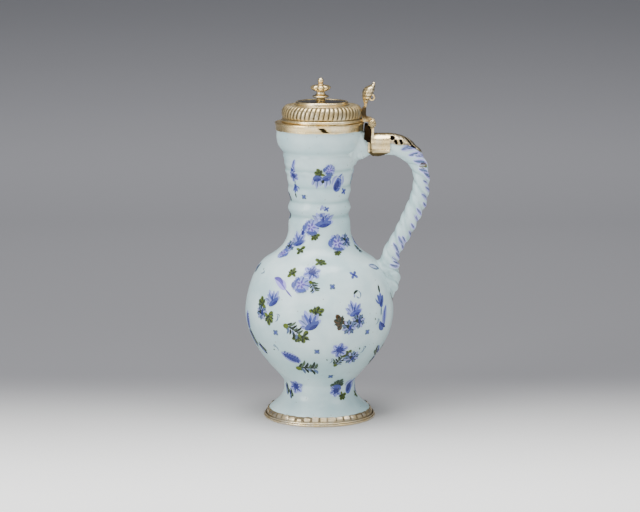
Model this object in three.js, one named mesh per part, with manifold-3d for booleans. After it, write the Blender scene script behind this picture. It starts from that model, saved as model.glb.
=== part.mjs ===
// A narrow-necked faience jug with silver-gilt mounts and a hinged lid.
// Millimetres, +Z up. The jug turns about Z, the handle points along +X and the table is z = 0.
import * as THREE from 'three';
import { mergeVertices } from 'three/addons/utils/BufferGeometryUtils.js';
import Module from 'manifold-3d';

const wasm = await Module();
wasm.setup();

// Fits that every piece shares
const SEAT = 0.3;
const SHEET = 0.8;
const PLAY = 0.5;
const SIDES = 36;

// The thrown body
const BASE_LIFT = 1;
const FOOT_RADIUS = 44.6;
const FOOT_LIP_TOP = 6.9;
const WAIST_RADIUS = 30.5;
const WAIST_Z = 25.5;
const WAIST_LENGTH = 4.9;
const BELLY_RADIUS = 63.65;
const BELLY_Z = 93;
const NECK_RADIUS = 26.5;
const NECK_Z = 164.4;
const NECK_HEIGHT = 64.5;
const COLLAR_ROOT_RADIUS = 30.4;
const COLLAR_HEIGHT = 23.1;
const MOUTH_RADIUS = 36.3;
const MOUTH_WALL = 4.1;
const WALL = 5;
const NECK_BORE = 21;
const FLOOR_Z = 16;
const COLLAR_Z = NECK_Z + NECK_HEIGHT;
const MOUTH_Z = COLLAR_Z + COLLAR_HEIGHT;
const MOUTH_BORE = MOUTH_RADIUS - MOUTH_WALL;

// Throwing rings of the neck: share of the neck's height, and how far out of the neck's radius
const NECK_RINGS = [
  [0.12, -0.6],
  [0.18, -1.8],
  [0.267, 0.35],
  [0.371, -1.8],
  [0.5, 0.25],
  [0.572, -0.05],
  [0.645, 0.9],
  [0.73, 2.1],
  [0.792, 2.25],
  [0.85, 3.2],
  [0.91, 3.8],
];

// The rolled and twisted handle: its radius where the sleeve grips it, and the twist of its three strands
const HANDLE_GRIP_RADIUS = 8.9;
const HANDLE_DROP = 16.65;
const STRANDS = 3;
const STRAND_DEPTH = 0.9;
const STRAND_PITCH = 31;
const PLAIN_LENGTH = 45;
const HANDLE_Z = MOUTH_Z - HANDLE_DROP;

// Stations of the handle as [out, up, radius]: the upper ones from the mouth, the lower ones from the belly
const UPPER_STATIONS = [
  [-12.3, -4.85, 15],
  [-4.3, -2.55, 12.6],
  [2.7, -0.75, 10],
  [6.4, -0.1, HANDLE_GRIP_RADIUS],
  [16.7, 0, HANDLE_GRIP_RADIUS],
  [23.7, -0.05, HANDLE_GRIP_RADIUS],
  [30.5, -1.15, 8.7],
  [36.5, -4.45, 8.4],
  [44.3, -11.35, 7.4],
  [49, -19.95, 6.9],
  [50.5, -30.85, 6.6],
];
const LOWER_STATIONS = [
  [20.95, 96.3, 7.5],
  [14.15, 80.2, 7.5],
  [6.15, 64, 7.1],
  [-1.15, 51.5, 7.2],
  [-3.65, 41, 7.8],
  [-1.85, 31, 7.4],
  [-0.85, 20.5, 5.4],
  [-2.05, 11.5, 2],
];

// The foot mount
const BASE_RING_WIDTH = 6.6;
const BASE_RING_LEDGE = 0.7;
const BASE_RING_BEAD = 3.2;
const BASE_BEAD_WIDTH = 1.6;
const TAB_COUNT = 40;
const TAB_TOP = 8.2;
const TAB_ROOT = 5;
const NOTCH_SHARE = 0.4;

// The mouth mount
const PACKING = 1.4;
const RIM_BAND_HEIGHT = 6.6;
const RIM_FLARE = 0.55;
const RIM_TURN_DOWN = 5.2;
const RIM_TOP = MOUTH_Z + SEAT + PACKING + SEAT + SHEET;
const RIM_BAND_INNER = MOUTH_RADIUS + SEAT;
const RIM_OUTER = RIM_BAND_INNER + RIM_FLARE + SHEET;
const RIM_LIP_BORE = MOUTH_BORE - SEAT - SHEET;

// The lid
const LID_SETBACK = 1.65;
const FLANGE_STEP = 1.3;
const FLANGE_LOWER = 2.9;
const FLANGE_UPPER = 3.3;
const BEZEL_DEPTH = 4.2;
const DOME_SETBACK = 2.4;
const DOME_BULGE = 1.15;
const DOME_HEIGHT = 8.1;
const DOME_TOP_RADIUS = 27;
const GADROONS = 52;
const GADROON_DEPTH = 0.35;
const GADROON_SLANT = 0.1;
const STEP_RADIUS = 21.6;
const STEP_WIDTH = 1.7;
const STEP_HEIGHT = 3.8;
const DISC_SINK = 0.2;
const LID_Z = RIM_TOP + SEAT;
const LID_RADIUS = RIM_OUTER - LID_SETBACK;
const FLANGE_RADIUS = LID_RADIUS - FLANGE_STEP;
const FLANGE_TOP = LID_Z + FLANGE_LOWER + FLANGE_UPPER;
const BEZEL_RADIUS = RIM_LIP_BORE - PLAY;
const DOME_Z = FLANGE_TOP + SEAT;
const DOME_RADIUS = FLANGE_RADIUS - DOME_SETBACK;
const DOME_TOP = DOME_Z + DOME_HEIGHT;
const STEP_TOP = DOME_TOP + STEP_HEIGHT - SHEET - SEAT;
const DISC_TOP = STEP_TOP - DISC_SINK;

// The finial
const ROD_RADIUS = 1;
const FINIAL_FOOT_RADIUS = 6.2;
const FINIAL_FOOT_HEIGHT = 7.6;
const KNOP_RADIUS = 8.1;
const KNOP_HEIGHT = 6.3;
const KNOP_LOBES = 8;
const KNOP_LOBE_DEPTH = 0.9;
const BALL_RADIUS = 2.5;
const BALL_NECK = 2.6;
const WASHER_RADIUS = 4;
const WASHER_THICKNESS = 0.8;
const NUT_RADIUS = 3.2;
const NUT_HEIGHT = 2.5;
const ROD_BORE = ROD_RADIUS + SEAT;

// The hinge and the thumbpiece
const KNUCKLE_RADIUS = 3.25;
const KNUCKLE_COUNT = 5;
const BARREL_LENGTH = 19;
const PIN_RADIUS = 1.3;
const PIN_CAP_HEIGHT = 1.6;
const HINGE_REACH = 6.75;
const HINGE_SINK = 1.1;
const KNUCKLE_CLEARANCE = 0.6;
const LEAF_WIDTH = 12;
const LEAF_THICKNESS = 3;
const LEAF_HEIGHT = 11.8;
const BRACKET_THICKNESS = 2.5;
const BRACKET_REACH = 2.35;
const BRACKET_CHEEK = 0.9;
const SCROLL_RADIUS = 3.4;
const SCROLL_BAND = 1.2;
const SCROLL_WIDTH = 6;
const TIP_RADIUS = 1.2;
const THUMB_HEIGHT = 20.5;
const PALMETTE_RADIUS = 8.1;
const PALMETTE_MIDDLE = 11.2;
const PALMETTE_LOBE = 0.7;
const HINGE_X = RIM_OUTER + HINGE_REACH;
const HINGE_Z = RIM_TOP - HINGE_SINK;
const KNUCKLE_BORE = PIN_RADIUS + SEAT;
const KNUCKLE_LENGTH = (BARREL_LENGTH - (KNUCKLE_COUNT - 1) * SEAT) / KNUCKLE_COUNT;
const LEAF_X = LID_RADIUS + SEAT;
const LEAF_Z = LID_Z + SEAT;
const LEAF_TOP = LEAF_Z + LEAF_HEIGHT;

// The handle mount
const SLEEVE_LENGTH = 17.4;
const SLEEVE_REACH = 6.1;
const SLEEVE_SHEET = 0.6;
const SLEEVE_FIT = 0.35;
const SLEEVE_WIDENING = 0.15;
const SLEEVE_SQUARENESS = 2.5;
const SLEEVE_SLANT = 1.2;
const SEAM_DROP = 4.4;
const SEAM_FOLD = 1.6;
const SEAM_FOLD_WIDTH = 0.9;
const STRAP_SHEET = 0.8;
const STRAP_LENGTH = 25;
const STRAP_WRAP = 80;
const STRAP_TIP_WRAP = 8;
const STRAP_WAVE = 0.12;
const SLEEVE_X = MOUTH_RADIUS + SLEEVE_REACH;
const SLEEVE_HALF_HEIGHT = HANDLE_GRIP_RADIUS + SLEEVE_FIT + SLEEVE_SHEET;
const SLEEVE_HALF_WIDTH = SLEEVE_HALF_HEIGHT + SLEEVE_WIDENING;

// Holes of the pierced strap: distance along it, degrees round the handle, and radius
const STRAP_HOLES = [
  [3.4, 42, 1.4],
  [7.4, 60, 1.1],
  [9, 30, 1.1],
  [13, 44, 1.2],
  [16.5, 20, 1.2],
];

// One closed solid from a geometry: shared corners are merged and flat triangles dropped
function solidOf(geometry) {
  const bare = geometry.clone();
  bare.deleteAttribute('normal');
  bare.deleteAttribute('uv');
  const merged = mergeVertices(bare, 1e-4);
  const corners = merged.index.array;
  const triangles = [];
  for (let i = 0; i < corners.length; i += 3) {
    const [a, b, c] = corners.slice(i, i + 3);
    if (a !== b && b !== c && c !== a) triangles.push(a, b, c);
  }
  return new wasm.Manifold(new wasm.Mesh({
    numProp: 3,
    vertProperties: merged.attributes.position.array,
    triVerts: new Uint32Array(triangles),
  }));
}

function geometryOf(solid) {
  const mesh = solid.getMesh();
  const geometry = new THREE.BufferGeometry();
  geometry.setAttribute('position', new THREE.BufferAttribute(mesh.vertProperties, 3));
  geometry.setIndex(new THREE.BufferAttribute(mesh.triVerts, 1));
  geometry.computeVertexNormals();
  return geometry;
}

// A closed outline of [radius, height] points, listed out along the bottom and up the outside, turned about Z
function turned(outline, sides = SIDES) {
  const closed = [...outline, outline[0]];
  const points = closed.map(([radius, height]) => new THREE.Vector2(radius, height));
  return new THREE.LatheGeometry(points, sides).rotateX(Math.PI / 2);
}

// The same for a piece that turns about the hinge's line, with heights along Y
function turnedAboutHinge(outline, sides = 20) {
  const closed = [...outline, outline[0]];
  const points = closed.map(([radius, along]) => new THREE.Vector2(radius, along));
  return new THREE.LatheGeometry(points, sides).translate(HINGE_X, 0, HINGE_Z);
}

// Points of a cubic curve without its first one, so that stretches can be strung together
function stretch(from, leave, arrive, to, count) {
  const ends = [from, leave, arrive, to].map(([x, y]) => new THREE.Vector2(x, y));
  return new THREE.CubicBezierCurve(...ends).getPoints(count).slice(1).map((point) => [point.x, point.y]);
}

function flatShape(points) {
  return new THREE.Shape(points.map(([x, y]) => new THREE.Vector2(x, y)));
}

// A side view in (x, z) given a width along Y, centred on y
function sidePlate(points, width, y = 0) {
  const plate = new THREE.ExtrudeGeometry(flatShape(points), { depth: width, bevelEnabled: false });
  const axes = new THREE.Matrix4().makeBasis(
    new THREE.Vector3(1, 0, 0),
    new THREE.Vector3(0, 0, 1),
    new THREE.Vector3(0, -1, 0),
  );
  return plate.applyMatrix4(axes).translate(0, y + width / 2, 0);
}

// An end view in (y, z) given a length along X, starting at x
function endPlate(shape, length, x) {
  const plate = new THREE.ExtrudeGeometry(shape, { depth: length, bevelEnabled: false, curveSegments: 8 });
  const axes = new THREE.Matrix4().makeBasis(
    new THREE.Vector3(0, 1, 0),
    new THREE.Vector3(0, 0, 1),
    new THREE.Vector3(1, 0, 0),
  );
  return plate.applyMatrix4(axes).translate(x, 0, 0);
}

function block(low, high) {
  const size = high.map((value, i) => value - low[i]);
  const middle = high.map((value, i) => (value + low[i]) / 2);
  return solidOf(new THREE.BoxGeometry(...size).translate(...middle));
}

// The outer outline of the thrown body from the edge of its base to the top of its lip
function bodyOutline() {
  const lipEdge = [FOOT_RADIUS - 3.4, BASE_LIFT];
  const lipTop = [FOOT_RADIUS - 0.9, FOOT_LIP_TOP];
  const waistLow = [WAIST_RADIUS, WAIST_Z];
  const waistHigh = [WAIST_RADIUS, WAIST_Z + WAIST_LENGTH];
  const rings = NECK_RINGS.map(([share, out]) => [NECK_RADIUS + out, NECK_Z + share * NECK_HEIGHT]);
  const swell = [MOUTH_RADIUS + 0.25, MOUTH_Z - 9];
  return [
    lipEdge,
    ...stretch(lipEdge, [FOOT_RADIUS, BASE_LIFT], [FOOT_RADIUS + 0.8, FOOT_LIP_TOP - 2.3], lipTop, 3),
    ...stretch(lipTop, [lipTop[0] - 2.9, lipTop[1] + 3.5], [WAIST_RADIUS, WAIST_Z - 9.7], waistLow, 4),
    ...bellyCurve(waistHigh, 0, 5),
    ...rings,
    [COLLAR_ROOT_RADIUS, COLLAR_Z],
    ...stretch([COLLAR_ROOT_RADIUS, COLLAR_Z], [COLLAR_ROOT_RADIUS + 3.2, COLLAR_Z + 3.1],
      [swell[0] - 0.5, swell[1] - 5.5], swell, 3),
    [MOUTH_RADIUS, MOUTH_Z - 4.5],
    [MOUTH_RADIUS, MOUTH_Z - 1.2],
    [MOUTH_RADIUS - 1.1, MOUTH_Z],
  ];
}

// The belly from its waist to the neck, outside for no inset and inside for the wall's thickness;
// count is how many points each of its curves gets
function bellyCurve(waist, inset, count) {
  const lean = 0.568;
  const shoulderOut = 0.508;
  const shoulderUp = 0.634;
  const up = [-Math.cos(lean), Math.sin(lean)];
  const belly = [BELLY_RADIUS - inset, BELLY_Z];
  const neck = [inset ? NECK_BORE : NECK_RADIUS, NECK_Z];
  const rise = NECK_Z - BELLY_Z;
  const shoulder = [
    NECK_RADIUS + shoulderOut * (BELLY_RADIUS - NECK_RADIUS) - inset * up[1],
    BELLY_Z + shoulderUp * rise + inset * up[0],
  ];
  const along = (length) => [shoulder[0] + up[0] * length, shoulder[1] + up[1] * length];
  const drop = 0.5 * (BELLY_Z - WAIST_Z);
  return [
    waist,
    ...stretch(waist, [waist[0], waist[1] + 6.6], [belly[0], belly[1] - drop], belly, count + 1),
    ...stretch(belly, [belly[0], BELLY_Z + 0.1 * rise], along(-0.223 * rise), shoulder, count),
    ...stretch(shoulder, along(0.109 * rise), [neck[0], NECK_Z - 0.221 * rise], neck, count),
  ];
}

// The hollow of the body, from the mouth down to the middle of the floor
function hollowOutline() {
  const waist = [WAIST_RADIUS - WALL, WAIST_Z + WAIST_LENGTH + 3];
  const flareTop = [MOUTH_BORE, MOUTH_Z - 12];
  const flareFoot = [NECK_BORE, COLLAR_Z - 5];
  const rising = [
    [0, FLOOR_Z],
    ...stretch([0, FLOOR_Z], [waist[0] * 0.6, FLOOR_Z], [waist[0], FLOOR_Z + 4], waist, 3).slice(0, -1),
    ...bellyCurve(waist, WALL, 4),
    flareFoot,
    ...stretch(flareFoot, [NECK_BORE, flareFoot[1] + 11], [MOUTH_BORE, flareTop[1] - 6.5], flareTop, 3),
    [MOUTH_BORE, MOUTH_Z - 1],
    [MOUTH_BORE + 1, MOUTH_Z],
  ];
  return rising.reverse();
}

function faienceBody() {
  return turned([[0, BASE_LIFT], ...bodyOutline(), ...hollowOutline()]);
}

// The body filled in and grown by the seat's gap, to cut what is luted on to it
function bodyEnvelope() {
  const grown = bodyOutline().map(([radius, height]) => [radius + SEAT, height]);
  return solidOf(turned([[0, BASE_LIFT], ...grown, [0, MOUTH_Z]]));
}

// The handle's middle line in (x, z), with its radius as the third number
function handleLine() {
  const upper = UPPER_STATIONS.map(([out, up, radius]) => [MOUTH_RADIUS + out, HANDLE_Z + up, radius]);
  const lower = LOWER_STATIONS.map(([out, up, radius]) => [BELLY_RADIUS + out, BELLY_Z + up, radius]);
  return new THREE.CatmullRomCurve3([...upper, ...lower].map((station) => new THREE.Vector3(...station)));
}

// A point beside the handle's line: share of its length, degrees round from its outer back, distance out
function besideHandle(line, share, degrees, distance) {
  const middle = line.getPointAt(share);
  const ahead = line.getTangentAt(share);
  const length = Math.hypot(ahead.x, ahead.y);
  const turn = THREE.MathUtils.degToRad(degrees);
  const out = distance * Math.cos(turn);
  return new THREE.Vector3(
    middle.x - out * ahead.y / length,
    distance * Math.sin(turn),
    middle.y + out * ahead.x / length,
  );
}

// How far the strands stand out: nothing in the sleeve, and less where the handle is thin
function strandDepth(line, share) {
  const along = share * line.getLength();
  const fade = THREE.MathUtils.smoothstep(along, PLAIN_LENGTH, 2 * PLAIN_LENGTH);
  return STRAND_DEPTH * fade * line.getPointAt(share).z / HANDLE_GRIP_RADIUS;
}

// The handle's surface: its strands twist towards the belly
function handleRadius(line, share, degrees) {
  const turns = STRANDS * share * line.getLength() / STRAND_PITCH;
  const phase = THREE.MathUtils.degToRad(STRANDS * degrees) - 2 * Math.PI * turns;
  return line.getPointAt(share).z + strandDepth(line, share) * Math.cos(phase);
}

function faienceHandle() {
  const line = handleLine();
  const rod = new THREE.CylinderGeometry(1, 1, 1, 12, 48);
  const places = rod.attributes.position;
  for (let i = 0; i < places.count; i += 1) {
    const share = places.getY(i) + 0.5;
    const degrees = THREE.MathUtils.radToDeg(Math.atan2(-places.getX(i), places.getZ(i)));
    const reach = Math.hypot(places.getX(i), places.getZ(i));
    const point = besideHandle(line, share, degrees, reach * handleRadius(line, share, degrees));
    places.setXYZ(i, point.x, point.y, point.z);
  }
  return geometryOf(solidOf(rod).subtract(bodyEnvelope()));
}

function footBaseRing() {
  const outer = FOOT_RADIUS + 3.5;
  const inner = outer - BASE_RING_WIDTH;
  const bead = outer - BASE_BEAD_WIDTH;
  return turned([
    [inner, 0],
    [outer - 0.5, 0],
    [outer, 0.6],
    [outer, BASE_RING_BEAD - 1],
    [outer - 0.5, BASE_RING_BEAD],
    [bead, BASE_RING_BEAD],
    [bead, BASE_RING_LEDGE],
    [inner, BASE_RING_LEDGE],
  ]);
}

// A ring of sheet that leans in over the ceramic lip, notched into tabs
function footTabbedCollar() {
  const root = FOOT_RADIUS + 0.75;
  const foot = BASE_RING_LEDGE + SEAT;
  const inside = [
    [root, foot],
    [root, 4.2],
    [FOOT_RADIUS - 0.9, TAB_TOP - 0.5],
  ];
  const outside = [
    [root + SHEET, foot],
    [root + SHEET, 4.5],
    [FOOT_RADIUS - 0.3, TAB_TOP],
  ];
  let collar = solidOf(turned([...outside, ...inside.reverse()], 2 * TAB_COUNT));
  const notchWidth = NOTCH_SHARE * 2 * Math.PI * FOOT_RADIUS / TAB_COUNT;
  for (let tab = 0; tab < TAB_COUNT; tab += 1) {
    const notch = new THREE.BoxGeometry(6, notchWidth, TAB_TOP)
      .translate(FOOT_RADIUS, 0, TAB_ROOT + TAB_TOP / 2)
      .rotateZ((tab + 0.5) * 2 * Math.PI / TAB_COUNT);
    collar = collar.subtract(solidOf(notch));
  }
  return geometryOf(collar);
}

// Plaster in the corner between the lip, the ledge and the collar
function footPacking() {
  const foot = BASE_RING_LEDGE + SEAT;
  return turned([
    [FOOT_RADIUS - 0.4, foot],
    [FOOT_RADIUS + 0.45, foot],
    [FOOT_RADIUS + 0.45, foot + 1.9],
    [FOOT_RADIUS + 0.25, foot + 1.5],
  ]);
}

function rimBand() {
  const low = RIM_TOP - RIM_BAND_HEIGHT;
  return turned([
    [RIM_BAND_INNER, low],
    [RIM_BAND_INNER + SHEET, low],
    [RIM_BAND_INNER + SHEET + 0.1, low + RIM_BAND_HEIGHT / 2],
    [RIM_OUTER, RIM_TOP],
    [RIM_OUTER - SHEET, RIM_TOP],
  ]);
}

function rimLip() {
  const outer = RIM_OUTER - SHEET - SEAT;
  return turned([
    [RIM_LIP_BORE, RIM_TOP - RIM_TURN_DOWN],
    [RIM_LIP_BORE + SHEET, RIM_TOP - RIM_TURN_DOWN],
    [RIM_LIP_BORE + SHEET, RIM_TOP - SHEET],
    [outer, RIM_TOP - SHEET],
    [outer, RIM_TOP],
    [RIM_LIP_BORE + 0.4, RIM_TOP],
    [RIM_LIP_BORE, RIM_TOP - 0.4],
  ]);
}

function rimPacking() {
  const low = MOUTH_Z + SEAT;
  return turned([
    [MOUTH_BORE + SEAT, low],
    [MOUTH_RADIUS, low],
    [MOUTH_RADIUS, low + PACKING],
    [MOUTH_BORE + SEAT, low + PACKING],
  ]);
}

function lidFlange() {
  const inner = BEZEL_RADIUS + SEAT;
  const step = LID_Z + FLANGE_LOWER;
  return turned([
    [inner, LID_Z],
    [LID_RADIUS - 0.5, LID_Z],
    [LID_RADIUS, LID_Z + 0.7],
    [LID_RADIUS, step - 0.7],
    [FLANGE_RADIUS + 0.3, step + 0.1],
    [FLANGE_RADIUS, step + 0.9],
    [FLANGE_RADIUS, FLANGE_TOP - 0.9],
    [FLANGE_RADIUS - 0.9, FLANGE_TOP],
    [inner, FLANGE_TOP],
  ]);
}

function lidBezel() {
  const low = RIM_TOP - BEZEL_DEPTH;
  const high = FLANGE_TOP - 0.4;
  return turned([
    [BEZEL_RADIUS - SHEET, low],
    [BEZEL_RADIUS, low],
    [BEZEL_RADIUS, high],
    [BEZEL_RADIUS - SHEET, high],
  ]);
}

// The raised shell: every other column of corners is a gadroon's crest, and the columns slant as they rise
function lidDome() {
  const bulge = [DOME_RADIUS + DOME_BULGE, DOME_Z + 0.3 * DOME_HEIGHT];
  const shoulder = [DOME_TOP_RADIUS, DOME_TOP];
  const edge = [STEP_RADIUS + SEAT, DOME_TOP + 0.3];
  const round = stretch(bulge, [bulge[0], bulge[1] + 3], [DOME_TOP_RADIUS + 3.6, DOME_TOP - 0.4], shoulder, 2);
  const outside = [[DOME_RADIUS, DOME_Z], bulge, ...round, edge];
  const inside = outside.map(([radius, height], i) => {
    const inward = i < 3 ? SHEET + 0.1 : 0.3;
    const down = i < 1 ? 0 : 0.9;
    return [radius - (i < outside.length - 1 ? inward : 0), height - down];
  });
  const shell = turned([...outside, ...inside.reverse()], 2 * GADROONS);
  const places = shell.attributes.position;
  const crest = Math.PI / GADROONS;
  for (let i = 0; i < places.count; i += 1) {
    const radius = Math.hypot(places.getX(i), places.getY(i));
    const height = places.getZ(i);
    const column = Math.round(Math.atan2(places.getY(i), places.getX(i)) / crest);
    const chased = outside.slice(1, -2).some(([r, z]) => Math.hypot(r - radius, z - height) < 1e-3);
    const out = chased ? GADROON_DEPTH * (column % 2 === 0 ? 1 : -1) : 0;
    const angle = column * crest + GADROON_SLANT * (height - DOME_Z) / DOME_HEIGHT;
    places.setXYZ(i, (radius + out) * Math.cos(angle), (radius + out) * Math.sin(angle), height);
  }
  return shell;
}

function lidStepRing() {
  const low = DOME_TOP - SHEET - SEAT;
  const inner = STEP_RADIUS - STEP_WIDTH;
  return turned([
    [inner, low],
    [STEP_RADIUS, low],
    [STEP_RADIUS, STEP_TOP - 1.4],
    [STEP_RADIUS - 0.5, STEP_TOP - 0.3],
    [STEP_RADIUS - 1, STEP_TOP],
    [inner, STEP_TOP],
  ]);
}

function lidDisc() {
  const outer = STEP_RADIUS - STEP_WIDTH - SEAT;
  return turned([
    [ROD_BORE, DISC_TOP - SHEET],
    [outer, DISC_TOP - SHEET],
    [outer, DISC_TOP],
    [ROD_BORE, DISC_TOP],
  ]);
}

const FINIAL_Z = DISC_TOP + SEAT;
const KNOP_Z = FINIAL_Z + FINIAL_FOOT_HEIGHT + SEAT;
const BALL_Z = KNOP_Z + KNOP_HEIGHT + SEAT;
const BALL_CENTRE = BALL_Z + BALL_NECK;

function finialFoot() {
  return turned([
    [ROD_BORE, FINIAL_Z],
    [4.6, FINIAL_Z],
    [3.4, FINIAL_Z + 2.4],
    [FINIAL_FOOT_RADIUS - 0.5, FINIAL_Z + 3.2],
    [FINIAL_FOOT_RADIUS, FINIAL_Z + 4.1],
    [FINIAL_FOOT_RADIUS - 0.8, FINIAL_Z + 5],
    [3.2, FINIAL_Z + 5.6],
    [2.7, FINIAL_Z + FINIAL_FOOT_HEIGHT],
    [ROD_BORE, FINIAL_Z + FINIAL_FOOT_HEIGHT],
  ], 20);
}

// A cup-like knop whose widest part swells into lobes
function finialKnop() {
  const knop = turned([
    [ROD_BORE, KNOP_Z],
    [2.8, KNOP_Z],
    [4.6, KNOP_Z + 1],
    [KNOP_RADIUS - KNOP_LOBE_DEPTH, KNOP_Z + 3],
    [KNOP_RADIUS - KNOP_LOBE_DEPTH, KNOP_Z + 4.2],
    [4.6, KNOP_Z + 5.5],
    [2.6, KNOP_Z + KNOP_HEIGHT],
    [ROD_BORE, KNOP_Z + KNOP_HEIGHT],
  ], 4 * KNOP_LOBES);
  const places = knop.attributes.position;
  for (let i = 0; i < places.count; i += 1) {
    const radius = Math.hypot(places.getX(i), places.getY(i));
    const angle = Math.atan2(places.getY(i), places.getX(i));
    const share = THREE.MathUtils.smoothstep(radius, 2.8, KNOP_RADIUS - KNOP_LOBE_DEPTH);
    const grow = 1 + KNOP_LOBE_DEPTH * share * Math.cos(KNOP_LOBES * angle) / Math.max(radius, 1);
    places.setXY(i, places.getX(i) * grow, places.getY(i) * grow);
  }
  return knop;
}

function finialBall() {
  const round = [];
  for (let step = 0; step <= 7; step += 1) {
    const angle = -1 + step * (Math.PI / 2 + 1) / 7;
    round.push([BALL_RADIUS * Math.cos(angle), BALL_CENTRE + BALL_RADIUS * Math.sin(angle)]);
  }
  round[round.length - 1][0] = 0;
  return turned([
    [ROD_BORE, BALL_Z],
    [2, BALL_Z],
    [1.9, BALL_Z + 0.4],
    ...round,
    [0, BALL_CENTRE + 0.4],
    [ROD_BORE, BALL_CENTRE + 0.4],
  ], 16);
}

const WASHER_Z = DISC_TOP - SHEET - SEAT - WASHER_THICKNESS;
const NUT_Z = WASHER_Z - SEAT - NUT_HEIGHT;

function finialRod() {
  const low = NUT_Z - 0.8;
  return turned([[0, low], [ROD_RADIUS, low], [ROD_RADIUS, BALL_CENTRE], [0, BALL_CENTRE]], 12);
}

function boredDisc(radius, low, height, sides) {
  return turned([[ROD_BORE, low], [radius, low], [radius, low + height], [ROD_BORE, low + height]], sides);
}

// Ring number 0 is at the front of the barrel; even rings belong to the jug and odd ones to the lid
function knuckleY(ring) {
  return -BARREL_LENGTH / 2 + ring * (KNUCKLE_LENGTH + SEAT);
}

function knuckle(ring) {
  const low = knuckleY(ring);
  const high = low + KNUCKLE_LENGTH;
  return turnedAboutHinge([
    [KNUCKLE_BORE, low],
    [KNUCKLE_RADIUS, low],
    [KNUCKLE_RADIUS, high],
    [KNUCKLE_BORE, high],
  ]);
}

const PIN_END = BARREL_LENGTH / 2 + 1;

function hingePin() {
  return turnedAboutHinge([[0, -PIN_END], [PIN_RADIUS, -PIN_END], [PIN_RADIUS, PIN_END], [0, PIN_END]], 12);
}

function pinCap() {
  const low = BARREL_LENGTH / 2 + SEAT;
  const high = low + PIN_CAP_HEIGHT;
  return turnedAboutHinge([
    [KNUCKLE_BORE, low],
    [KNUCKLE_RADIUS - 0.15, low],
    [KNUCKLE_RADIUS - 0.45, low + 0.7],
    [1.6, high - 0.25],
    [0, high],
    [0, PIN_END + SEAT],
    [KNUCKLE_BORE, PIN_END + SEAT],
  ]);
}

// A cylinder on the hinge's line, as a cutter, over the length of the given rings
function hingeCutter(radius, ring, spare) {
  const length = KNUCKLE_LENGTH + 2 * spare;
  const middle = knuckleY(ring) + KNUCKLE_LENGTH / 2;
  return solidOf(new THREE.CylinderGeometry(radius, radius, length, 20).translate(HINGE_X, middle, HINGE_Z));
}

// The strap that stands against the flange, with one arm over each of the lid's rings
function lidHingeLeaf() {
  const right = LEAF_X + LEAF_THICKNESS;
  let leaf = solidOf(sidePlate([
    [LEAF_X - 1.5, LEAF_Z],
    [right, LEAF_Z],
    [right + 0.4, LEAF_Z + 4],
    [right - 0.2, LEAF_Z + 7],
    [right, LEAF_TOP],
    [LEAF_X + 0.3, LEAF_TOP],
    [LEAF_X - 1.5, LEAF_Z + 7],
  ], LEAF_WIDTH));
  for (const ring of [1, 3]) {
    const arm = sidePlate([
      [right - 0.5, LEAF_Z],
      [HINGE_X - 0.4, LEAF_Z],
      [HINGE_X - 0.4, HINGE_Z + KNUCKLE_RADIUS + 1.3],
      [right - 0.5, HINGE_Z + KNUCKLE_RADIUS + 2.6],
    ], KNUCKLE_LENGTH, knuckleY(ring) + KNUCKLE_LENGTH / 2);
    leaf = leaf.add(solidOf(arm)).subtract(hingeCutter(KNUCKLE_RADIUS + SEAT, ring, 1));
  }
  const keepOut = turned([
    [0, LEAF_Z - 1],
    [LEAF_X, LEAF_Z - 1],
    [LEAF_X, FLANGE_TOP],
    [FLANGE_RADIUS + SEAT, FLANGE_TOP + 0.8],
    [FLANGE_RADIUS + SEAT, LEAF_TOP + 1],
    [0, LEAF_TOP + 1],
  ]);
  return geometryOf(leaf.subtract(solidOf(keepOut)));
}

// The sleeve's section: a squared oval round the handle, grown or shrunk
function sleeveOval(grow) {
  const points = [];
  const power = 2 / SLEEVE_SQUARENESS;
  for (let step = 0; step < 32; step += 1) {
    const angle = (step + 0.5) * Math.PI / 16;
    const across = Math.sign(Math.cos(angle)) * Math.abs(Math.cos(angle)) ** power;
    const up = Math.sign(Math.sin(angle)) * Math.abs(Math.sin(angle)) ** power;
    points.push([across * (SLEEVE_HALF_WIDTH + grow), HANDLE_Z + up * (SLEEVE_HALF_HEIGHT + grow)]);
  }
  return points;
}

// The whole sleeve as one tube, its inner end slanted to follow the collar
function sleeveTube() {
  const ring = flatShape(sleeveOval(0));
  ring.holes.push(new THREE.Path(flatShape(sleeveOval(-SLEEVE_SHEET)).getPoints()));
  const tube = solidOf(endPlate(ring, SLEEVE_LENGTH, SLEEVE_X));
  const low = HANDLE_Z - SLEEVE_HALF_HEIGHT - 1;
  const high = HANDLE_Z + SLEEVE_HALF_HEIGHT + 1;
  const slant = solidOf(sidePlate([
    [SLEEVE_X - 5, low],
    [SLEEVE_X + SLEEVE_SLANT, low],
    [SLEEVE_X - 0.5, high],
    [SLEEVE_X - 5, high],
  ], 4 * SLEEVE_HALF_WIDTH));
  return tube.subtract(slant);
}

const SEAM_Z = HANDLE_Z - SEAM_DROP;

function sleeveSaddle() {
  const reach = 2 * SLEEVE_HALF_WIDTH;
  const above = block([SLEEVE_X - 5, -reach, SEAM_Z], [SLEEVE_X + SLEEVE_LENGTH + 5, reach, MOUTH_Z + 20]);
  return geometryOf(sleeveTube().intersect(above));
}

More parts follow.
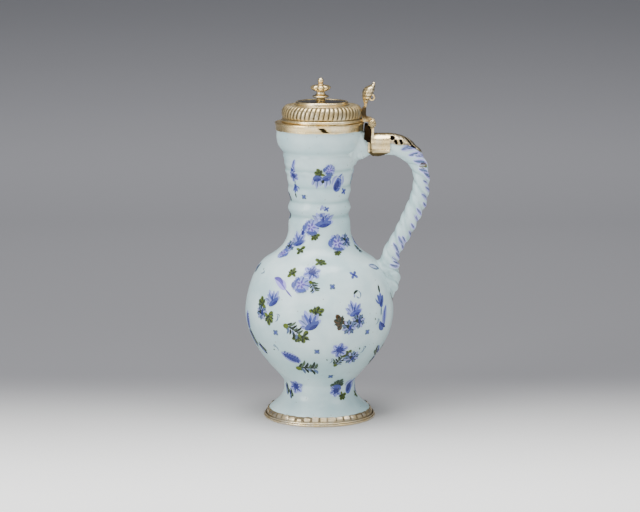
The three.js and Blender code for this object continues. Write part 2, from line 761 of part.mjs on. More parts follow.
// The lower half, with a fold along each side that lies under the saddle's edges
function sleeveUnderplate() {
  const top = SEAM_Z - SEAT;
  const reach = 2 * SLEEVE_HALF_WIDTH;
  const start = SLEEVE_X + SLEEVE_SLANT;
  const end = SLEEVE_X + SLEEVE_LENGTH;
  const below = block([SLEEVE_X - 5, -reach, top - 2 * reach], [end + 5, reach, top]);
  const outer = SLEEVE_HALF_WIDTH + SEAM_FOLD_WIDTH;
  const folds = block([start, -outer, top - SEAM_FOLD], [end, outer, top]);
  const inside = solidOf(endPlate(flatShape(sleeveOval(-SLEEVE_SHEET)), SLEEVE_LENGTH + 2, SLEEVE_X - 1));
  return geometryOf(sleeveTube().intersect(below).add(folds.subtract(inside)));
}

// The upright yoke: it straddles the sleeve and carries the jug's three rings
function hingeBracket() {
  const low = HANDLE_Z + BRACKET_REACH;
  const cheek = SLEEVE_HALF_WIDTH + SEAT + BRACKET_CHEEK;
  const neck = BARREL_LENGTH / 2;
  const crown = HANDLE_Z + SLEEVE_HALF_HEIGHT;
  const outline = flatShape([
    [-cheek, low],
    [cheek, low],
    [cheek, crown - 1.5],
    [neck, crown + 1.5],
    [neck, HINGE_Z],
    [-neck, HINGE_Z],
    [-neck, crown + 1.5],
    [-cheek, crown - 1.5],
  ]);
  const left = HINGE_X - 1;
  let yoke = solidOf(endPlate(outline, BRACKET_THICKNESS, left));
  for (let ring = 0; ring < KNUCKLE_COUNT; ring += 1) {
    const own = ring % 2 === 0;
    const gap = own ? SEAT : KNUCKLE_CLEARANCE;
    const spare = own ? 0 : 2 * SEAT;
    yoke = yoke.subtract(hingeCutter(KNUCKLE_RADIUS + gap, ring, spare));
  }
  const over = block([left - 1, -neck - 1, HINGE_Z - 1.4], [left + 5, neck + 1, HINGE_Z + 1]);
  const seat = solidOf(endPlate(flatShape(sleeveOval(SEAT)), BRACKET_THICKNESS + 4, left - 2));
  return geometryOf(yoke.subtract(over).subtract(seat));
}

// A point on the strap: distance along it, degrees round the handle, distance out from the handle's surface
function onStrap(line, start, along, degrees, out) {
  const share = (start + along) / line.getLength();
  const inner = line.getPointAt(share).z + strandDepth(line, share) + SEAT;
  return besideHandle(line, share, degrees, inner + out);
}

// How far along the handle's line it comes out of the sleeve, closed in on by halving
function strapStart(line) {
  const end = SLEEVE_X + SLEEVE_LENGTH + SEAT;
  let inside = 0;
  let outside = 0.4;
  while (outside - inside > 1e-4) {
    const middle = (inside + outside) / 2;
    if (line.getPointAt(middle).x < end) inside = middle;
    else outside = middle;
  }
  return outside * line.getLength();
}

// A leaf of sheet along the handle's back, narrowing to its tip and pierced on both sides
function handleStrap() {
  const line = handleLine();
  const start = strapStart(line);
  const leaf = new THREE.BoxGeometry(1, 1, 1, 10, 10, 1);
  const places = leaf.attributes.position;
  for (let i = 0; i < places.count; i += 1) {
    const share = places.getX(i) + 0.5;
    const wave = 1 - STRAP_WAVE * Math.cos(8 * share);
    const wrap = STRAP_TIP_WRAP + STRAP_WRAP * wave * (1 - share) ** 0.6;
    const out = (places.getZ(i) + 0.5) * STRAP_SHEET;
    const point = onStrap(line, start, share * STRAP_LENGTH, 2 * places.getY(i) * wrap, out);
    places.setXYZ(i, point.x, point.y, point.z);
  }
  let strap = solidOf(leaf);
  for (const [along, degrees, radius] of STRAP_HOLES) {
    for (const side of [-1, 1]) {
      const low = onStrap(line, start, along, side * degrees, -0.6);
      const high = onStrap(line, start, along, side * degrees, STRAP_SHEET + 1);
      const awl = new THREE.CylinderGeometry(radius, radius, high.distanceTo(low), 6);
      const aim = new THREE.Quaternion().setFromUnitVectors(
        new THREE.Vector3(0, 1, 0),
        high.clone().sub(low).normalize(),
      );
      awl.applyQuaternion(aim).translate(...low.add(high).multiplyScalar(0.5).toArray());
      strap = strap.subtract(solidOf(awl));
    }
  }
  return geometryOf(strap);
}

const THUMB_Z = LEAF_TOP + SEAT;

// The palmette is where a leaning side view and a lobed front view meet; its tip carries a ball
function thumbpieceShell() {
  const side = sidePlate([
    [LEAF_X + 0.2, THUMB_Z],
    [LEAF_X + 3.6, THUMB_Z],
    [LEAF_X + 3.9, THUMB_Z + 4],
    [LEAF_X + 5.3, THUMB_Z + 9.5],
    [LEAF_X + 9.4, THUMB_Z + 16.5],
    [LEAF_X + 10.2, THUMB_Z + 19],
    [LEAF_X + 8.4, THUMB_Z + 19.3],
    [LEAF_X + 4.6, THUMB_Z + 16.5],
    [LEAF_X + 1.2, THUMB_Z + 12.5],
    [LEAF_X - 0.4, THUMB_Z + 8],
    [LEAF_X - 0.4, THUMB_Z + 3],
  ], 30);
  const lobes = [];
  for (let step = 0; step <= 24; step += 1) {
    const turn = -1.9 + 3.8 * step / 24;
    const reach = PALMETTE_RADIUS + PALMETTE_LOBE * Math.cos(7 * turn);
    lobes.push([reach * 0.95 * Math.sin(turn), THUMB_Z + PALMETTE_MIDDLE + reach * Math.cos(turn)]);
  }
  const stem = 2.6;
  const front = flatShape([[stem, THUMB_Z], [stem + 0.4, THUMB_Z + 5], ...lobes.reverse(),
    [-stem - 0.4, THUMB_Z + 5], [-stem, THUMB_Z]]);
  const palmette = solidOf(side).intersect(solidOf(endPlate(front, 24, LEAF_X - 8)));
  const tip = new THREE.SphereGeometry(TIP_RADIUS, 10, 6)
    .rotateX(Math.PI / 2)
    .translate(LEAF_X + 9.4, 0, THUMB_Z + THUMB_HEIGHT - TIP_RADIUS);
  return palmette.add(solidOf(tip));
}

// A curled band behind the palmette, cut back from it by the seat's gap
function thumbpieceScroll(shell) {
  const centre = [LEAF_X + 7.1, THUMB_Z + 6];
  const outer = [];
  const inner = [];
  for (let step = 0; step <= 22; step += 1) {
    const share = step / 22;
    const turn = 2.1 - share * 6.4;
    const radius = SCROLL_RADIUS * (1 - 0.5 * share);
    const aim = [Math.cos(turn), Math.sin(turn)];
    outer.push([centre[0] + radius * aim[0], centre[1] + radius * aim[1]]);
    inner.push([centre[0] + (radius - SCROLL_BAND) * aim[0], centre[1] + (radius - SCROLL_BAND) * aim[1]]);
  }
  const band = solidOf(sidePlate([...outer, ...inner.reverse()], SCROLL_WIDTH));
  return band.subtract(shell.translate([SEAT, 0, 0])).subtract(shell);
}

// Surfaces
function glaze() {
  return new THREE.MeshStandardMaterial({ color: '#c4d2d0', roughness: 0.2, metalness: 0 });
}

function gilt() {
  return new THREE.MeshStandardMaterial({ color: '#d8c08c', roughness: 0.3, metalness: 1 });
}

function wornGilt() {
  return new THREE.MeshStandardMaterial({ color: '#cdbba0', roughness: 0.4, metalness: 1 });
}

function plaster() {
  return new THREE.MeshStandardMaterial({ color: '#d9d3c4', roughness: 0.9, metalness: 0 });
}

const jug = new THREE.Group();

function place(name, geometry, material) {
  const mesh = new THREE.Mesh(geometry, material);
  mesh.name = name;
  jug.add(mesh);
}

place('faience_body', faienceBody(), glaze());
place('faience_handle', faienceHandle(), glaze());
place('foot_base_ring', footBaseRing(), wornGilt());
place('foot_tabbed_collar', footTabbedCollar(), wornGilt());
place('foot_packing', footPacking(), plaster());
place('rim_band', rimBand(), gilt());
place('rim_lip', rimLip(), gilt());
place('rim_packing', rimPacking(), plaster());
place('lid_flange', lidFlange(), gilt());
place('lid_bezel', lidBezel(), gilt());
place('lid_dome', lidDome(), gilt());
place('lid_step_ring', lidStepRing(), gilt());
place('lid_disc', lidDisc(), gilt());
place('finial_foot', finialFoot(), gilt());
place('finial_knop', finialKnop(), gilt());
place('finial_ball', finialBall(), gilt());
place('finial_rod', finialRod(), gilt());
place('finial_washer', boredDisc(WASHER_RADIUS, WASHER_Z, WASHER_THICKNESS, 16), gilt());
place('finial_nut', boredDisc(NUT_RADIUS, NUT_Z, NUT_HEIGHT, 6), gilt());
place('lid_hinge_leaf', lidHingeLeaf(), gilt());
for (let ring = 0; ring < KNUCKLE_COUNT; ring += 1) {
  const owner = ring % 2 === 0 ? 'bracket' : 'lid';
  place(`${owner}_knuckle_${Math.floor(ring / 2) + 1}`, knuckle(ring), gilt());
}
place('hinge_pin', hingePin(), gilt());
place('pin_cap_back', pinCap(), gilt());
place('pin_cap_front', pinCap().rotateZ(Math.PI).translate(2 * HINGE_X, 0, 0), gilt());
place('hinge_bracket', hingeBracket(), gilt());
place('sleeve_saddle', sleeveSaddle(), gilt());
place('sleeve_underplate', sleeveUnderplate(), gilt());
place('handle_strap', handleStrap(), wornGilt());
const shell = thumbpieceShell();
place('thumbpiece_shell', geometryOf(shell), gilt());
place('thumbpiece_scroll', geometryOf(thumbpieceScroll(shell)), gilt());

export default jug;
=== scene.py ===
import math
import random

import bmesh
import bpy
from mathutils import Matrix, Vector, bvhtree, geometry, noise


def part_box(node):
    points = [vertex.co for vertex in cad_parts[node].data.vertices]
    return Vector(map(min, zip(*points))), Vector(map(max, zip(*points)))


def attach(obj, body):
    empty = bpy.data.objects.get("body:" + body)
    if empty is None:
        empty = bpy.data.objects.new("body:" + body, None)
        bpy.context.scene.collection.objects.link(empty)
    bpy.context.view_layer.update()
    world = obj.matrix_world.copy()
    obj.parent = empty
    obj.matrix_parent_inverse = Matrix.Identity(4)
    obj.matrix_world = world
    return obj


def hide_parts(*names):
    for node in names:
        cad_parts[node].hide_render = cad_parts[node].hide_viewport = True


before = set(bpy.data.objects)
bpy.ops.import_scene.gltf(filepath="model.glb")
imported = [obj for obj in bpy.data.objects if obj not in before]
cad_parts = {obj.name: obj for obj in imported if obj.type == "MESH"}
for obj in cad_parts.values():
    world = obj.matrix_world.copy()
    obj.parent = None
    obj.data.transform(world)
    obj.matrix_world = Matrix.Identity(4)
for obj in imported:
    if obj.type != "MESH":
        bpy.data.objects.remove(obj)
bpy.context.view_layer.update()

# Camera
# It stands in front of the jug, half a metre up and almost two metres off, and looks 9.5 degrees down.
lens = bpy.data.cameras.new("camera")
lens.lens = 127.45
lens.sensor_width = 36
camera = bpy.data.objects.new("camera", lens)
camera.location = (0.0005, -1.9163, 0.4607)
camera.rotation_euler = (math.radians(80.475), 0, 0)
bpy.context.scene.collection.objects.link(camera)
bpy.context.scene.camera = camera


# Studio paper
# A roll of pale matt paper that lies flat in front and sweeps up behind the jug.
def linear(hex_code):
    """An sRGB hex value as the opaque linear colour that shaders and lights use."""
    channels = [int(hex_code[i:i + 2], 16) / 255 for i in (1, 3, 5)]
    return [c / 12.92 if c <= 0.04045 else ((c + 0.055) / 1.055) ** 2.4 for c in channels] + [1]


def add_node(tree, kind, values=None, links=None, **settings):
    """A shader node with its settings, the values of its sockets, and the links into them."""
    node = tree.nodes.new("ShaderNode" + kind)
    for name, value in settings.items():
        setattr(node, name, value)
    for socket, value in (values or {}).items():
        node.inputs[socket].default_value = value
    for socket, source in (links or {}).items():
        tree.links.new(source, node.inputs[socket])
    return node


def new_material(name):
    """An empty material with its node tree, its place on the object, and its output."""
    material = bpy.data.materials.new(name)
    material.use_nodes = True
    tree = material.node_tree
    tree.nodes.clear()
    place = add_node(tree, "TexCoord").outputs["Object"]
    output = add_node(tree, "OutputMaterial")
    return material, tree, place, output


# Matt paper with a painted fall-off of light: white in front, grey from just behind the jug, and darker up
# the sweep
paper_with_painted_falloff, tree, place, output = new_material("matt_studio_paper_painted_falloff")
apart = add_node(tree, "SeparateXYZ", links={0: place})
tone = None
for low, high, shade in [(-0.3, 0.17, "#717174"), (0.25, 1.45, "#828286"), (1.34, 1.96, "#48494d")]:
    step = add_node(tree, "MapRange", {"From Min": low, "From Max": high}, {"Value": apart.outputs["Y"]},
                    interpolation_type="SMOOTHSTEP")
    links = {0: step.outputs[0], 6: tone.outputs[2]} if tone else {0: step.outputs[0]}
    tone = add_node(tree, "Mix", {6: linear("#fbfaf8"), 7: linear(shade)}, links, data_type="RGBA")
fibre = add_node(tree, "TexNoise", {"Scale": 1000 / 1.5, "Detail": 2}, {"Vector": place})
grain = add_node(tree, "Bump", {"Strength": 0.04, "Distance": 0.0002}, {"Height": fibre.outputs[0]})
surface = add_node(tree, "BsdfPrincipled", {"Roughness": 0.9, "IOR": 1.5, "Specular IOR Level": 0.15},
                   {"Base Color": tone.outputs[2], "Normal": grain.outputs[0]})
tree.links.new(surface.outputs[0], output.inputs[0])

sweep_radius = 0.9
sweep_start = 1.1
sweep_width = 6
sweep_front = -2.6
sweep_top = 3
bm = bmesh.new()
bend = [(sweep_start + sweep_radius * math.sin(turn), sweep_radius * (1 - math.cos(turn)))
        for turn in map(math.radians, range(0, 91, 6))]
sheet_line = [(sweep_front, 0)] + bend + [(sweep_start + sweep_radius, sweep_top)]
corners = [bm.verts.new((-sweep_width / 2, y, z)) for y, z in sheet_line]
edges = [bm.edges.new(pair) for pair in zip(corners, corners[1:])]
wide = bmesh.ops.extrude_edge_only(bm, edges=edges)["geom"]
bmesh.ops.translate(bm, verts=[v for v in wide if isinstance(v, bmesh.types.BMVert)], vec=(sweep_width, 0, 0))
bmesh.ops.recalc_face_normals(bm, faces=bm.faces)
if bm.faces[0].normal.z < 0:
    bmesh.ops.reverse_faces(bm, faces=bm.faces)
mesh = bpy.data.meshes.new("studio_paper")
bm.to_mesh(mesh)
bm.free()
mesh.shade_smooth()
mesh.materials.append(paper_with_painted_falloff)
studio_paper = bpy.data.objects.new("studio_paper", mesh)
bpy.context.scene.collection.objects.link(studio_paper)

# Studio light
# One large soft box above, weaker ones on each side and behind the camera, and the even grey of the room.
for name, spot, aim, size, power in [
    ("soft_box_above", (-0.1, -0.15, 1.9), (0, 0, 0.1), (1.5, 1.3), 62),
    ("soft_box_left", (-1.5, -1.2, 0.9), (0, 0, 0.15), (0.8, 1.3), 28),
    ("soft_box_right", (1.4, -0.7, 1.5), (0, 0, 0.1), (0.8, 0.8), 8),
    ("soft_box_front", (0.4, -2.7, 1.2), (0, 0, 0.15), (2.4, 1.4), 16),
]:
    light = bpy.data.lights.new(name, "AREA")
    light.shape = "RECTANGLE"
    light.size, light.size_y = size
    light.energy = power
    lamp = bpy.data.objects.new(name, light)
    lamp.location = spot
    lamp.rotation_euler = (Vector(aim) - Vector(spot)).to_track_quat("-Z", "Y").to_euler()
    bpy.context.scene.collection.objects.link(lamp)
world = bpy.data.worlds.new("room")
world.use_nodes = True
world.node_tree.nodes["Background"].inputs[0].default_value = linear("#c9cbce")
world.node_tree.nodes["Background"].inputs[1].default_value = 0.76
bpy.context.scene.world = world


# Thrown body
# Buff clay thrown on the wheel in one piece, with finger rings left on the neck, then dipped in
# tin glaze, which breaks to a pale grey-blue and pools a little in the hollows of the rings. Those
# hollows, the underside of the collar and the low belly are also darkened as painted shade.
MM = 0.001
base_lift = 1
mouth_z = 252
mouth_radius = 36.3
mouth_wall = 4.1
belly_z = 93
belly_radius = 63.65
neck_z = 164.4
neck_radius = 26.5
neck_height = 64.5
neck_bore = 21
waist_z = 25.5
waist_radius = 30.5
# The shoulder's middle, as shares of the way from the neck out to the belly and from the belly up to
# the neck, and its slope in radians
shoulder_out = 0.508
shoulder_up = 0.634
shoulder_lean = 0.568
wall = 5
floor_z = 16
# Share of the neck's height, and how far each ring stands out of the neck
neck_rings = [
    (0.02, -0.1), (0.09, -0.25), (0.135, -1.0), (0.18, -1.75), (0.225, -0.6), (0.267, 0.35), (0.32, -0.6),
    (0.371, -1.8), (0.44, -0.7), (0.5, 0.25), (0.572, -0.1), (0.645, 0.95), (0.7, 1.1), (0.73, 1.9),
    (0.76, 2.6), (0.792, 2.2), (0.82, 2.5), (0.85, 3.3), (0.88, 3.3), (0.91, 3.5), (0.96, 4.4),
]


def curve(start, leave, arrive, end, steps):
    """Points of a cubic curve without its first one."""
    ends = [Vector((*point, 0, 0)[:3]) for point in (start, leave, arrive, end)]
    return [tuple(point[:len(start)]) for point in geometry.interpolate_bezier(*ends, steps + 1)[1:]]


def through(points, steps):
    """A smooth line through the points, each a tuple of numbers."""
    padded = [points[0], *points, points[-1]]
    line = [points[0]]
    for a, b, c, d in zip(padded, padded[1:], padded[2:], padded[3:]):
        leave = [q + (r - p) / 6 for p, q, r in zip(a, b, c)]
        arrive = [r - (s - q) / 6 for q, r, s in zip(b, c, d)]
        line += curve(b, leave, arrive, c, steps)
    return line


def belly_line(waist, inset, neck, steps):
    """The belly's outline from its waist to the neck; inset is how far inside the outer skin it runs."""
    up = (-math.cos(shoulder_lean), math.sin(shoulder_lean))
    rise = neck_z - belly_z
    belly = (belly_radius - inset, belly_z)
    shoulder = (
        neck_radius + shoulder_out * (belly_radius - neck_radius) - inset * up[1],
        belly_z + shoulder_up * rise + inset * up[0],
    )
    before = (shoulder[0] - 0.223 * rise * up[0], shoulder[1] - 0.223 * rise * up[1])
    after = (shoulder[0] + 0.109 * rise * up[0], shoulder[1] + 0.109 * rise * up[1])
    rounding = (belly[0], belly_z - 0.5 * (belly_z - waist_z))
    return [
        waist,
        *curve(waist, (waist[0], waist[1] + 6.6), rounding, belly, 3 * steps),
        *curve(belly, (belly[0], belly_z + 0.1 * rise), before, shoulder, 2 * steps),
        *curve(shoulder, after, (neck, neck_z - 0.221 * rise), (neck, neck_z), 2 * steps),
    ]


def spun(outline, sides, closed=True):
    """A solid of an outline of (radius, height) millimetres turned about Z."""
    bm = bmesh.new()
    corners = [bm.verts.new((radius * MM, 0, height * MM)) for radius, height in outline]
    edges = [bm.edges.new(pair) for pair in zip(corners, corners[1:])]
    if closed:
        edges.append(bm.edges.new((corners[-1], corners[0])))
    bmesh.ops.spin(bm, geom=corners + edges, cent=(0, 0, 0), axis=(0, 0, 1), angle=2 * math.pi,
                   steps=sides, use_merge=True)
    bmesh.ops.remove_doubles(bm, verts=bm.verts, dist=1e-7)
    bmesh.ops.recalc_face_normals(bm, faces=bm.faces)
    return bm


def add_piece(name, bm, material, body, nodes, crease=40, shift=None):
    """Makes the mesh an object that rides on its body and stands for its CAD nodes."""
    if shift:
        bmesh.ops.translate(bm, verts=bm.verts, vec=shift)
    mesh = bpy.data.meshes.new(name)
    bm.to_mesh(mesh)
    bm.free()
    mesh.materials.append(material)
    mesh.shade_smooth()
    mesh.set_sharp_from_angle(angle=math.radians(crease))
    piece = bpy.data.objects.new(name, mesh)
    bpy.context.scene.collection.objects.link(piece)
    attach(piece, body)
    if nodes:
        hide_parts(*nodes)
    return piece


def bell(offset, width):
    """A smooth bump: 1 at no offset, and nearly nothing two widths away."""
    return math.exp(-(offset / width) ** 2)


def within(value, low=0, high=1):
    return min(max(value, low), high)


def outward(corner):
    """The level way out from the jug's axis at a corner."""
    return corner.co.xy.normalized().to_3d()


def mark(bm, name, rule):
    """Gives each corner a value that a material reads, by a rule of its place in millimetres."""
    layer = bm.verts.layers.float.new(name)
    for corner in bm.verts:
        corner[layer] = rule(corner.co.x / MM, corner.co.y / MM, corner.co.z / MM)


def glaze_nodes(tree, place):
    """The glaze's colour, roughness and relief: clouding 30 mm wide, faint throwing lines, orange peel."""
    cloud = add_node(tree, "TexNoise", {"Scale": 1000 / 30, "Detail": 3}, {"Vector": place})
    share = add_node(tree, "MapRange", {"From Min": 0.35, "From Max": 0.65}, {"Value": cloud.outputs[0]})
    tone = add_node(tree, "Mix", {6: linear("#c9dfe0"), 7: linear("#adcace")},
                    {0: share.outputs[0]}, data_type="RGBA")
    speck = add_node(tree, "TexVoronoi", {"Scale": 1000 / 7}, {"Vector": place})
    pinhole = add_node(tree, "MapRange", {"From Min": 0.05, "From Max": 0.09, "To Min": 1, "To Max": 0},
                       {"Value": speck.outputs["Distance"]})
    # The pool mark darkens the glaze: pooled glaze in hollows, and painted shade under the rings, the collar
    # and the low belly.
    pool_and_painted_shade = add_node(tree, "Attribute", attribute_name="pool_and_painted_shade")
    pooled_and_painted_shade = add_node(tree, "Mix", {7: linear("#8fb0b2")},
                      {0: pool_and_painted_shade.outputs["Fac"], 6: tone.outputs[2]}, data_type="RGBA")
    spotted = add_node(tree, "Mix", {7: linear("#96a09a")},
                       {0: pinhole.outputs[0], 6: pooled_and_painted_shade.outputs[2]}, data_type="RGBA")
    flat = add_node(tree, "Mapping", {"Scale": (0.12, 0.12, 1)}, {"Vector": place})
    throwing = add_node(tree, "TexNoise", {"Scale": 1000 / 7, "Detail": 1}, {"Vector": flat.outputs[0]})
    peel = add_node(tree, "TexNoise", {"Scale": 1000 / 4, "Detail": 2}, {"Vector": place})
    lines = add_node(tree, "Bump", {"Strength": 0.35, "Distance": 0.0006}, {"Height": throwing.outputs[0]})
    relief = add_node(tree, "Bump", {"Strength": 0.12, "Distance": 0.0003},
                      {"Height": peel.outputs[0], "Normal": lines.outputs[0]})
    gloss = add_node(tree, "MapRange", {"To Min": 0.16, "To Max": 0.3}, {"Value": peel.outputs[0]})
    return spotted.outputs[2], gloss.outputs[0], relief.outputs[0]


# Tin glaze: an opaque pale grey-blue skin, glossy, with soft broad highlights
tin_glaze, tree, place, output = new_material("tin_glaze")
colour, gloss, relief = glaze_nodes(tree, place)
surface = add_node(tree, "BsdfPrincipled", {"IOR": 1.5},
                   {"Base Color": colour, "Roughness": gloss, "Normal": relief})
tree.links.new(surface.outputs[0], output.inputs[0])

foot_edge = (41.2, base_lift)
foot_lip = (43.7, 6.9)
collar_root = (30.4, neck_z + neck_height)
swell = (mouth_radius + 0.25, mouth_z - 9)
outside = [
    (0, base_lift),
    foot_edge,
    *curve(foot_edge, (44.6, base_lift), (45.4, 4.6), foot_lip, 6),
    *curve(foot_lip, (40.8, 10.4), (waist_radius, waist_z - 9.7), (waist_radius, waist_z), 14),
    *belly_line((waist_radius, waist_z + 4.9), 0, neck_radius, 13)[:-1],
    *through(
        [(neck_radius, neck_z)]
        + [(neck_radius + out, neck_z + share * neck_height) for share, out in neck_rings]
        + [collar_root, (32.6, 231.6), (34.8, 235), (36.1, 239), swell, (mouth_radius, mouth_z - 3)],
        3),
    *curve((mouth_radius, mouth_z - 3), (mouth_radius, mouth_z - 0.9), (35.6, mouth_z), (34.4, mouth_z), 4),
]
inner_waist = (waist_radius - wall, waist_z + 7.9)
mouth_bore = mouth_radius - mouth_wall
inside = [
    (0, floor_z),
    *curve((0, floor_z), (16, floor_z), (inner_waist[0], floor_z + 4), inner_waist, 8)[:-1],
    *belly_line(inner_waist, wall, neck_bore, 5),
    (neck_bore, 223.9),
    *curve((neck_bore, 223.9), (neck_bore, 235), (mouth_bore, 233.5), (mouth_bore, 240), 6),
    *curve((mouth_bore, mouth_z - 2), (mouth_bore, mouth_z - 0.6), (33, mouth_z), (34, mouth_z), 3),
]


def thrown(outline):
    """The outline turned on the wheel, with the slight sway that a hand leaves in it."""
    bm = spun(outline, 180, closed=False)
    for corner in bm.verts:
        sway = noise.noise(corner.co * 22) + 0.4 * noise.noise(corner.co * 70)
        corner.co += outward(corner) * 0.22 * MM * sway * min(1, corner.co.z / 0.012)
    bm.normal_update()
    return bm


ring_hollows = [
    neck_z + here[0] * neck_height
    for before, here, after in zip([neck_rings[0], *neck_rings], neck_rings, neck_rings[1:])
    if here[1] < min(before[1], after[1])
]


def glaze_pool_and_painted_shade(x, y, z):
    """Where the glaze runs thick in the neck's hollows, and painted shade: in those hollows, under the collar
    and low on the belly.
    """
    near = min(abs(z - hollow) for hollow in ring_hollows)
    return 0.7 * bell(near, 1.6) + 0.4 * bell(z - 231, 2) + 0.55 * bell(z - 55, 18)


body_skin = bvhtree.BVHTree.FromBMesh(thrown(outside))
jug_body = thrown(outside + inside[::-1])
mark(jug_body, "pool_and_painted_shade", glaze_pool_and_painted_shade)
add_piece("glazed_body", jug_body, tin_glaze, "jug", ["faience_body"])

# Handle
# Three ropes of clay twisted together, with a smooth root luted to the neck and a pinched tail pressed
# on to the belly. The twist shows on the back and fades on the inner side. Glazed with the body.
strand_depth = 1.35
strand_pitch = 31
strands = 3
plain_length = 45
twisted_from = 85
root_hollow = 7
tail_hollow = 4
# Middle line of the handle: out from the axis, height and radius
handle_stations = [
    (22, 229.5, 12.5), (31, 232.5, 11.2), (38, 234.4, 9.6), (42.7, 235.25, 8.8), (53, 235.35, 8.8),
    (60, 235.3, 8.8), (66.8, 234.2, 8.6), (72.8, 230.9, 8.3), (80.6, 224, 7.3), (85.3, 215.4, 6.8),
    (86.8, 204.5, 6.5), (84.6, 189.3, 7.3), (77.8, 173.2, 7.3), (69.8, 157, 6.9), (62.5, 144.5, 6.9),
    (60, 134, 7.6), (61.8, 124, 7.1), (62.8, 113.5, 5.2), (61.6, 104.5, 2),
]
# Height of each pinch in the tail, and how deep the thumb went
tail_pinches = [(126.3, 1.3), (116.5, 0.5), (108.3, 1.0)]
handle_line = through(handle_stations, 8)
handle_last = len(handle_line) - 1
handle_travel = [0]
for here, there in zip(handle_line, handle_line[1:]):
    handle_travel.append(handle_travel[-1] + math.dist(here[:2], there[:2]))


def mapped_grid(bm, across, along, place):
    """Adds a grid and moves each of its corners, at shares u and v of its sides, to place(u, v)."""
    corners = bmesh.ops.create_grid(bm, x_segments=across, y_segments=along, size=0.5)["verts"]
    for corner in corners:
        corner.co = place(corner.co.x + 0.5, corner.co.y + 0.5)
    return corners


def close_up(bm):
    """Joins the seam of a mapped grid, closes its two ends and turns its faces outwards."""
    bmesh.ops.remove_doubles(bm, verts=bm.verts, dist=1e-6)
    bmesh.ops.holes_fill(bm, edges=[e for e in bm.edges if e.is_boundary], sides=0)
    bmesh.ops.recalc_face_normals(bm, faces=bm.faces)


def above_skin(spot):
    """The point of the body nearest the spot, the way out there, and how far above it the spot is."""
    near, normal, _, _ = body_skin.find_nearest(spot)
    return near, normal, (spot - near).dot(normal) / MM


def luted(spot, centre, innermost, hollow):
    """Moves a point near the body on to the hollow round the joint, which meets the body at a tangent."""
    near, normal, gap = above_skin(spot)
    if gap >= hollow:
        return spot
    used = hollow - gap
    deepest = hollow - above_skin(innermost)[2]
    quarter = hollow * math.pi / 2
    full = quarter + 2
    if 0 < deepest < full:
        near_share = min(1, deepest / hollow)
        used *= 1 + near_share ** 2 * (3 - 2 * near_share) * (full / deepest - 1)
    arc = min(used / hollow, math.pi / 2)
    past = max(used - quarter, 0)
    aside = spot - centre
    aside -= normal * aside.dot(normal)
    spread = hollow * (1 - math.cos(arc)) + min(past, 1.5)
    high = hollow * (1 - math.sin(arc)) - 0.03 * min(past, 1.5) - max(past - 1.5, 0)
    near, normal, _ = above_skin(near + aside.normalized() * spread * MM)
    return near + normal * high * MM


def rope_height(length, turn):
    """How high the twisted strands stand there, from -0.9 in a groove to 0.8 on a strand."""
    twist = strands / 2 * (turn - 2 * math.pi * length / strand_pitch)
    return 1.7 * abs(math.cos(twist)) - 0.9


def handle_spot(share, turn, out=0):
    """A point on the handle: share of the way along it, radians round from its back, and how far out."""
    at = share * handle_last
    low = min(int(at), handle_last - 1)
    before, here, there, after = [
        Vector(handle_line[within(low + step, 0, handle_last)]) for step in range(-1, 3)
    ]
    middle = here.lerp(there, at - low)
    ahead = (there - before).lerp(after - here, at - low).xy.normalized()
    length = handle_travel[low] + (at - low) * (handle_travel[low + 1] - handle_travel[low])
    fade = within((length - plain_length) / (twisted_from - plain_length))
    back = 0.4 + 0.6 * (1 + math.cos(turn)) / 2
    rope = strand_depth * fade * back * rope_height(length, turn)
    pinch = sum(deep * bell(middle.y - height, 1.5) for height, deep in tail_pinches)
    radius = middle.z + rope * middle.z / 8 - pinch * (1 + math.cos(turn)) / 2 + out
    centre = Vector((middle.x, 0, middle.y))
    away = Vector((-ahead.y, 0, ahead.x))
    spot = centre + away * radius * math.cos(turn) + Vector((0, radius * math.sin(turn), 0))
    innermost = centre - away * middle.z
    hollow = root_hollow if length < plain_length else tail_hollow
    return luted(spot * MM, centre * MM, innermost * MM, hollow)


def handle_corner(u, v):
    """A corner of the handle's skin, which also notes how deep in a groove it lies."""
    length = v * handle_travel[-1]
    grooves.append(max(0, -rope_height(length, 2 * math.pi * u)) * (length > twisted_from))
    return handle_spot(v, 2 * math.pi * u)


grooves = []
bm = bmesh.new()
pool_and_painted_shade = bm.verts.layers.float.new("pool_and_painted_shade")
corners = mapped_grid(bm, 60, 340, handle_corner)
# The grooves between the strands are darkened: glaze pooled there, and painted shade.
for corner, groove in zip(corners, grooves):
    corner[pool_and_painted_shade] = 0.8 * groove
close_up(bm)
handle_skin = bvhtree.BVHTree.FromBMesh(bm)
add_piece("glazed_handle", bm, tin_glaze, "jug", ["faience_handle"], crease=60)

# Painted sprigs
# Scattered flowers and leaves in cobalt blue, manganese violet and copper green, laid on the raw glaze
# with a fine brush and fired into it. Each dab is a thin film with a dark outline and a paler wash.
cobalt = "#444d92"
deep_cobalt = "#26276e"
pale_cobalt = "#868ec4"
bled_cobalt = "#b4c2de"
lilac = "#948ed0"
violet = "#5a4c9e"
leaf_green = "#4b590c"
dark_green = "#1b2314"
grey_green = "#44543f"
umber = "#3f2a0e"
grey_blue = "#4d5e80"
paint_lift = 0.1
paint_layer = 0.01
paint_depth = 0.13
brush = random.Random(7)


